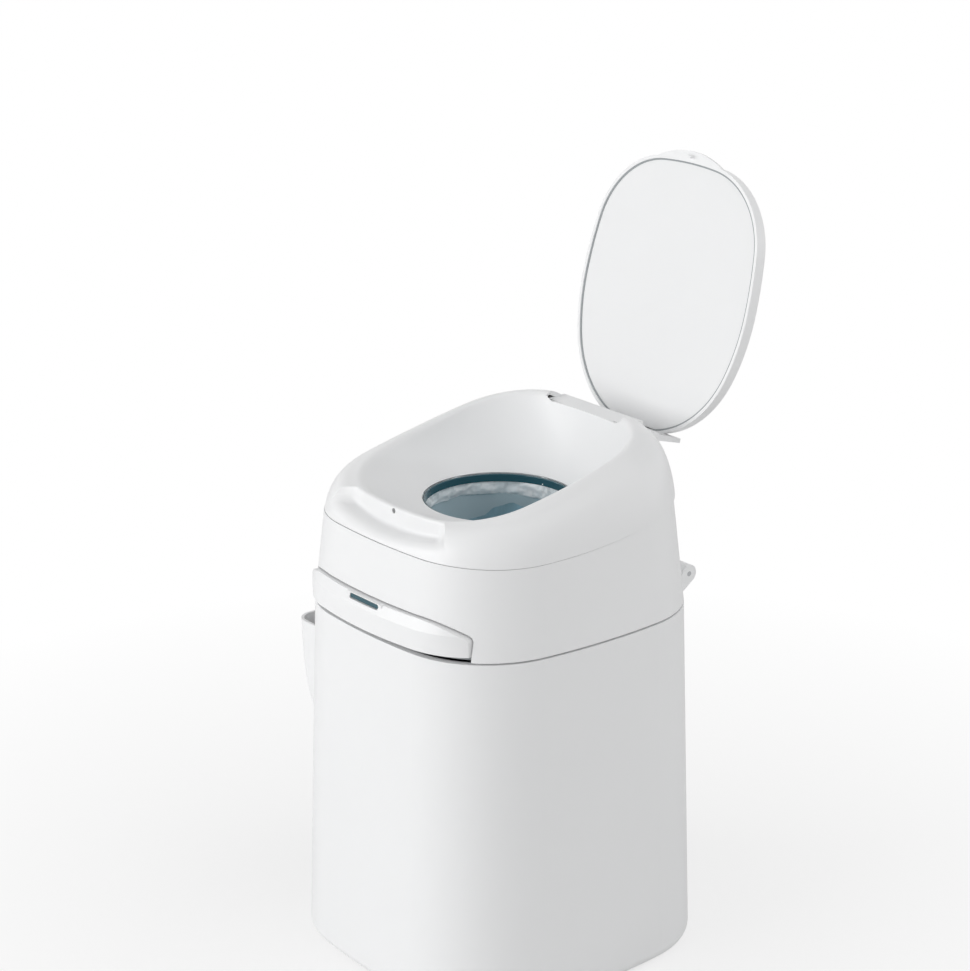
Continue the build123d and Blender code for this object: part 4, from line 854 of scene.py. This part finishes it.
class CoverForm:
    """Columns of the hopper cover's skin: up the outside, over the rounded ridge and down the dish."""

    def __init__(self, per_arc, inset=0.0, drop=0.0, grow=0.0, back_shift=0.0):
        self.back_shift = back_shift
        scale = 1 - HEAD_TAPER * BODY[0]
        foot = BODY[:3] + tuple(size * scale for size in BODY[3:])
        rows = [shrunk(foot, inset, 0.0)] + [shrunk(plan, inset, drop) for plan in (*SHOULDERS, RIDGE)]
        self.outside = [self.section(row, per_arc) for row in rows]
        level = SEAM + THROAT_LEVEL - drop
        throat = [Vector((x, y, level)) for x, y in circle_points(THROAT_RADIUS + grow, per_arc)]
        self.dish = [self.section(shrunk(RIDGE, RIDGE_WIDTH - grow, drop), per_arc),
                     self.section(shrunk(DISH, -grow, drop), per_arc), throat]

    def section(self, row, per_arc):
        level, slope, shift, width, depth, bow, corner = row
        lean = sqrt(1 + slope ** 2)
        height = SEAM + level + slope * shift
        return [Vector((x, shift + y / lean, height + slope * y / lean))
                for x, y in bowed_points(width, depth, bow, corner, per_arc)]

    def seam(self, y, gap):
        """Height of the curved lower edge."""
        return SEAM + gap + 69.56 + 0.076 * y + 6.45 * (y / 100) ** 2

    def recess_floor(self, x):
        """Height of the thumb recess's floor, lowest in the middle."""
        return SEAM + 76.0 + 3.0 * (x / 45) ** 2 - self.back_shift

    def recess_back(self, x):
        """Depth of the thumb recess's back wall, along the ridge's front."""
        return -96.5 + 6.5 * (x / 60) ** 2 + self.back_shift

    def column(self, k, gap, soft_out, soft_in, counts):
        """One column from the lower edge to the throat, with the same number of points in each."""
        up = natural_spline([row[k] for row in self.outside], (40, 24, 24))
        start = next(i for i, p in enumerate(up) if p.z > self.seam(p.y, gap))
        a, b = up[start - 1], up[start]
        miss_a, miss_b = a.z - self.seam(a.y, gap), b.z - self.seam(b.y, gap)
        up = [a.lerp(b, -miss_a / (miss_b - miss_a))] + up[start:]
        down = natural_spline([row[k] for row in self.dish], (40, 30))
        cut, crest_out = walked(up, lengths(up)[-1] - soft_out)
        rising = up[:cut + 1] + [crest_out]
        fall, crest_in = walked(down, soft_in)
        falling = [crest_in] + down[fall + 1:]
        ridge = bridge(crest_out, rising[-1] - rising[-3], crest_in, falling[2] - falling[0], 16, 0.50)
        return (self.pressed(rising + ridge + [crest_in], len(rising), counts)
                + resample(falling, counts[-1])[1:])

    def pressed(self, path, plain_end, counts):
        """The path in four stretches, with the thumb recess pressed into it at the front."""
        low = next((i for i, p in enumerate(path) if p.z > self.recess_floor(p.x)), 1)
        reach, fade = 57.0, 11.0
        front = path[0].y < 0 and abs(path[low].x) < 64
        high = next((i for i, p in enumerate(path) if p.y > self.recess_back(p.x)), 0) if front else 0
        share = 0.0
        if high > low + 1:
            share = min(1.0, max(0.0, (reach - abs(path[high].x)) / fade))
            share = share * share * (3 - 2 * share)
        if share == 0.0:
            gone = lengths(path)
            steep = gone[plain_end - 1]
            stops = (0.0, steep * 0.2, steep * 0.5, steep * 0.75, gone[-1])
            return self.strung([part_of(path, stops[i], stops[i + 1]) for i in range(4)], counts)
        a, b = path[low - 1], path[low]
        foot = crossing(a, b, a.z - self.recess_floor(a.x), b.z - self.recess_floor(b.x))
        a, b = path[high - 1], path[high]
        top = crossing(a, b, a.y - self.recess_back(a.x), b.y - self.recess_back(b.x))
        base = Vector((top.x, self.recess_back(top.x), min(top.z - 0.5, self.recess_floor(top.x))))
        deep, tall = (base - foot).length, top.z - base.z
        below, above = path[:low] + [foot], [top] + path[high:]
        lip, crown = min(7.0, deep * 0.45), min(1.6, tall * 0.3)
        fillet = min(3.0, deep * 0.25, tall * 0.35)
        inward = (base - foot).normalized()
        upward = Vector((0, 0, 1))
        cut, lip_start = walked(below, max(0.4, lengths(below)[-1] - lip))
        skip, crown_end = walked(above, crown)
        lip_end, floor_end = foot + inward * lip * 0.9, base - inward * fillet
        wall_start, wall_end = base + upward * fillet, top - upward * crown
        floor = ([lip_start] + bridge(lip_start, below[cut + 1] - below[cut], lip_end, inward, 10, 0.40)
                 + [lip_end, floor_end])
        wall = [floor_end] + bridge(floor_end, inward, wall_start, upward, 7, 0.40) + [wall_start, wall_end]
        rest = ([wall_end] + bridge(wall_end, upward, crown_end, above[skip + 1] - above[skip], 6, 0.40)
                + [crown_end] + above[skip + 1:])
        bent = self.strung([below[:cut + 1] + [lip_start], floor, wall, rest], counts)
        if share == 1.0:
            return bent
        start_at = lengths(below[:cut + 1] + [lip_start])[-1]
        before = lengths(path[:high] + [top])[-1]
        whole = lengths(path)[-1]
        ratio = lengths(floor)[-1] / (lengths(floor)[-1] + lengths(wall)[-1])
        stops = (0.0, start_at, start_at + (before - start_at) * ratio, before, whole)
        flat = self.strung([part_of(path, stops[i], stops[i + 1]) for i in range(4)], counts)
        return [p.lerp(q, share) for p, q in zip(flat, bent)]

    def strung(self, parts, counts):
        """The stretches in one line, each divided into its count."""
        points = resample(parts[0], counts[0])
        for part, count in zip(parts[1:], counts[1:4]):
            points += resample(part, count)[1:]
        return points


def joined(base, tools, operation):
    """Boolean of a mesh piece with others, which are used up."""
    for tool in tools:
        modifier = base.modifiers.new("join", "BOOLEAN")
        modifier.operation = operation
        modifier.solver = "EXACT"
        modifier.object = tool
        graph = bpy.context.evaluated_depsgraph_get()
        mesh = bpy.data.meshes.new_from_object(base.evaluated_get(graph), depsgraph=graph)
        base.modifiers.remove(modifier)
        old = base.data
        mesh.name = old.name
        base.data = mesh
        bpy.data.meshes.remove(old)
        bpy.data.objects.remove(tool)
    return base


def prism(name, outline, low, high, axis, finish):
    """Straight block: an outline in the plane across an axis, drawn from low to high, in millimetres."""
    loops = []
    for level in (low, high):
        loop = []
        for a, b in outline:
            loop.append({"x": (level, a, b), "y": (a, level, b), "z": (a, b, level)}[axis])
        loops.append([tuple(c * 0.001 for c in p) for p in loop])
    count = len(outline)
    verts = loops[0] + loops[1]
    faces = [tuple(range(count)), tuple(range(count, 2 * count))]
    faces += [(k, (k + 1) % count, (k + 1) % count + count, k + count) for k in range(count)]
    return piece_of(name, verts, faces, finish, 35.0)


def round_outline(centre, radius, count=40):
    return [(centre[0] + radius * cos(a), centre[1] + radius * sin(a)) for a in around(count)]


def rectangle(y0, y1, z0, z1):
    return [(y0, z0), (y1, z0), (y1, z1), (y0, z1)]


def hull_outline(points):
    """Convex outline of flat points."""
    points = sorted(set(points))
    halves = []
    for ordered in (points, points[::-1]):
        half = []
        for p in ordered:
            while len(half) > 1 and (half[-1][0] - half[-2][0]) * (p[1] - half[-2][1]) <= (
                    half[-1][1] - half[-2][1]) * (p[0] - half[-2][0]):
                half.pop()
            half.append(p)
        halves.append(half[:-1])
    return halves[0] + halves[1]


class PAIL_OT_cover(bpy.types.Operator):
    """Form the hopper cover with its rounded ridge, dish, thumb recess and hinge seats"""

    bl_idname = "pail.cover"
    bl_label = "Hopper cover"

    def execute(self, context):
        per_arc = 44
        seam_gap = 0.4
        outer = CoverForm(per_arc)
        inner = CoverForm(per_arc, inset=WALL, drop=2.2, grow=1.2, back_shift=2.4)
        count = 8 * per_arc
        outer_counts = (12, 12, 10, 32, 34)
        inner_counts = (6, 5, 4, 14, 14)
        columns = []
        for k in range(count):
            skin = outer.column(k, seam_gap, 5.0, 4.0, outer_counts)
            back = inner.column(k, seam_gap, 1.0, 0.6, inner_counts)
            columns.append(skin + back[::-1])
        rows = len(columns[0])
        loops = [[tuple(columns[k][row] * 0.001) for k in range(count)] for row in range(rows)]
        loops.append(loops[0])
        verts, faces = loops_to_shell(loops, closed_ends=False)
        cover = piece_of("hopper_cover", verts, faces, "shell_white", 35.0)
        self.fit_hinges(cover)
        shade(cover.data, 33.0)
        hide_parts("top_cover")
        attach(cover, "cover")
        return {"FINISHED"}

    def fit_hinges(self, cover):
        """Notch and bosses of the lid's hinge, lugs of the cover's hinge and the catch hole."""
        axis = (107.0, SEAM + 113.0)
        pivot = (117.4, SEAM + 87.6)
        floor = axis[1] - 9.5
        half = 42.2

        def block(outline, low, high, along="x"):
            return prism("block", outline, low, high, along, "shell_white")

        joined(cover, [
            block(rectangle(88.5, 112.0, floor - WALL, floor), -half - WALL, half + WALL),
            block(rectangle(89.0, 100.5, floor - WALL, SEAM + 126.9), -half - WALL, half + WALL),
            block(rectangle(83.2, 99.5, SEAM + 122.5, SEAM + 127.4), -half - 2.0, half + 2.0),
        ], "UNION")
        joined(cover, [
            block(rectangle(100.5, 140.0, floor, SEAM + 160), -half, half),
            block(rectangle(80.0, 120.0, SEAM + 127.0, SEAM + 160), -half, half),
        ], "DIFFERENCE")
        boss = hull_outline(round_outline(axis, 5.5) + rectangle(95.0, 103.0, SEAM + 104.0, SEAM + 114.0))
        lug = hull_outline(round_outline(pivot, 3.4, 24) + [(110.0, SEAM + 89.7), (110.0, SEAM + 98.7)])
        joined(cover, [block(boss, side, side + 7.8) for side in (-50.0, half)], "UNION")
        joined(cover, [block(lug, side, side + 7.0) for side in (37.4, -44.4)], "UNION")
        joined(cover, [
            block(round_outline(axis, 1.75, 24), -51.0, 51.0),
            block(round_outline(pivot, 1.35, 20), -60.0, 60.0),
            block(round_outline((0.0, SEAM + 88.0), 2.0, 24), -100.0, -90.0, "y"),
        ], "DIFFERENCE")


def area_lamp(name, place, aim, size, power):
    """A rectangular lamp that faces a point."""
    lamp = bpy.data.lights.new(name, "AREA")
    lamp.shape = "RECTANGLE"
    lamp.size, lamp.size_y = size
    lamp.energy = power
    holder = bpy.data.objects.new(name, lamp)
    holder.location = place
    holder.rotation_euler = (Vector(aim) - Vector(place)).to_track_quat("-Z", "Y").to_euler()
    bpy.context.scene.collection.objects.link(holder)


class PAIL_OT_stage(bpy.types.Operator):
    """Make the floor, the lamps, the world and the camera"""

    bl_idname = "pail.stage"
    bl_label = "Stage"

    def execute(self, context):
        scene = context.scene
        g = scene.pail_stage
        mesh = bpy.data.meshes.new("floor")
        half = 12.0
        mesh.from_pydata([(-half, -half, 0), (half, -half, 0), (half, half, 0), (-half, half, 0)], [],
                         [(0, 1, 2, 3)])
        floor = bpy.data.objects.new("floor", mesh)
        scene.collection.objects.link(floor)
        s = Shader("floor_white")
        x, y, _ = s.parts_of(s.place())
        far = ((x * x + y * y) ** 0.5 - 0.15) / 0.6
        seen = s.add("ShaderNodeLightPath").out("Is Camera Ray")
        diffuse = s.add("ShaderNodeBsdfDiffuse", None, Color=(0.9, 0.9, 0.9, 1)).out("BSDF")
        glow = s.add("ShaderNodeEmission", None, Color=(1, 1, 1, 1), Strength=1.0).out("Emission")
        share = (far.clamp() * 0.35 + 0.65) * seen
        mixed = s.add("ShaderNodeMixShader", None, share, diffuse, glow).out("Shader")
        mesh.materials.append(s.finish(mixed))

        w = Shader("studio", bpy.data.worlds.new("studio"))
        path = w.add("ShaderNodeLightPath")
        seen = path.out("Is Camera Ray").math("MAXIMUM", path.out("Is Glossy Ray"))
        seen = seen.math("MAXIMUM", path.out("Is Transmission Ray"))
        light = w.add("ShaderNodeBackground", None, Color=(1, 1, 1, 1), Strength=g.world).out()
        white = w.add("ShaderNodeBackground", None, Color=(1, 1, 1, 1), Strength=1.0).out()
        mixed = w.add("ShaderNodeMixShader", None, seen, light, white).out("Shader")
        scene.world = w.finish(mixed, "ShaderNodeOutputWorld")

        for name, place, aim, size in (
            ("key", (-0.95, -2.9, 1.15), (0, 0, 0.32), (3.0, 1.8)),
            ("fill", (2.0, -0.6, 1.0), (0, 0, 0.35), (1.4, 1.4)),
            ("top", (1.2, 0.6, 2.0), (0, 0, 0.35), (1.8, 1.8)),
            ("rim", (1.3, 1.9, 0.8), (0, 0, 0.3), (1.2, 1.4)),
        ):
            area_lamp(name + "_lamp", place, aim, size, getattr(g, name))

        data = bpy.data.cameras.new("camera")
        data.lens = g.lens
        data.sensor_width = 36.0
        data.sensor_height = 36.0
        data.sensor_fit = "AUTO"
        data.shift_x = -0.0146
        data.shift_y = 0.0615
        data.clip_start = 0.1
        data.clip_end = 60.0
        camera = bpy.data.objects.new("camera", data)
        flat = cos(g.elevation)
        away = Vector((flat * sin(g.azimuth), -flat * cos(g.azimuth), sin(g.elevation)))
        camera.location = Vector((0, 0, g.aim)) + away * g.distance
        camera.rotation_euler = (-away).to_track_quat("-Z", "Y").to_euler()
        scene.collection.objects.link(camera)
        scene.camera = camera
        scene.view_settings.view_transform = "Standard"
        return {"FINISHED"}


class PAIL_PT_panel(bpy.types.Panel):
    """Sizes, colours and steps of the pail"""

    bl_label = "Litter pail"
    bl_idname = "PAIL_PT_panel"
    bl_space_type = "VIEW_3D"
    bl_region_type = "UI"
    bl_category = "Pail"

    def draw(self, context):
        for name in ("pail_finish", "pail_stage"):
            group = getattr(context.scene, name)
            box = self.layout.box()
            for key in group.__annotations__:
                box.prop(group, key)
        for step in STEPS:
            self.layout.operator(step.bl_idname)


GROUPS = {"pail_finish": PailFinish, "pail_stage": PailStage}
STEPS = (PAIL_OT_finishes, PAIL_OT_cover, PAIL_OT_film, PAIL_OT_springs, PAIL_OT_screws, PAIL_OT_stage)


CLASSES = (*GROUPS.values(), *STEPS, PAIL_PT_panel)


def register():
    for kind in CLASSES:
        bpy.utils.register_class(kind)
    for name, group in GROUPS.items():
        setattr(bpy.types.Scene, name, PointerProperty(type=group))


def unregister():
    for name in GROUPS:
        delattr(bpy.types.Scene, name)
    for kind in reversed(CLASSES):
        bpy.utils.unregister_class(kind)


def main():
    register()
    for step in STEPS:
        category, name = step.bl_idname.split(".")
        getattr(getattr(bpy.ops, category), name)()


if __name__ == "__main__":
    main()
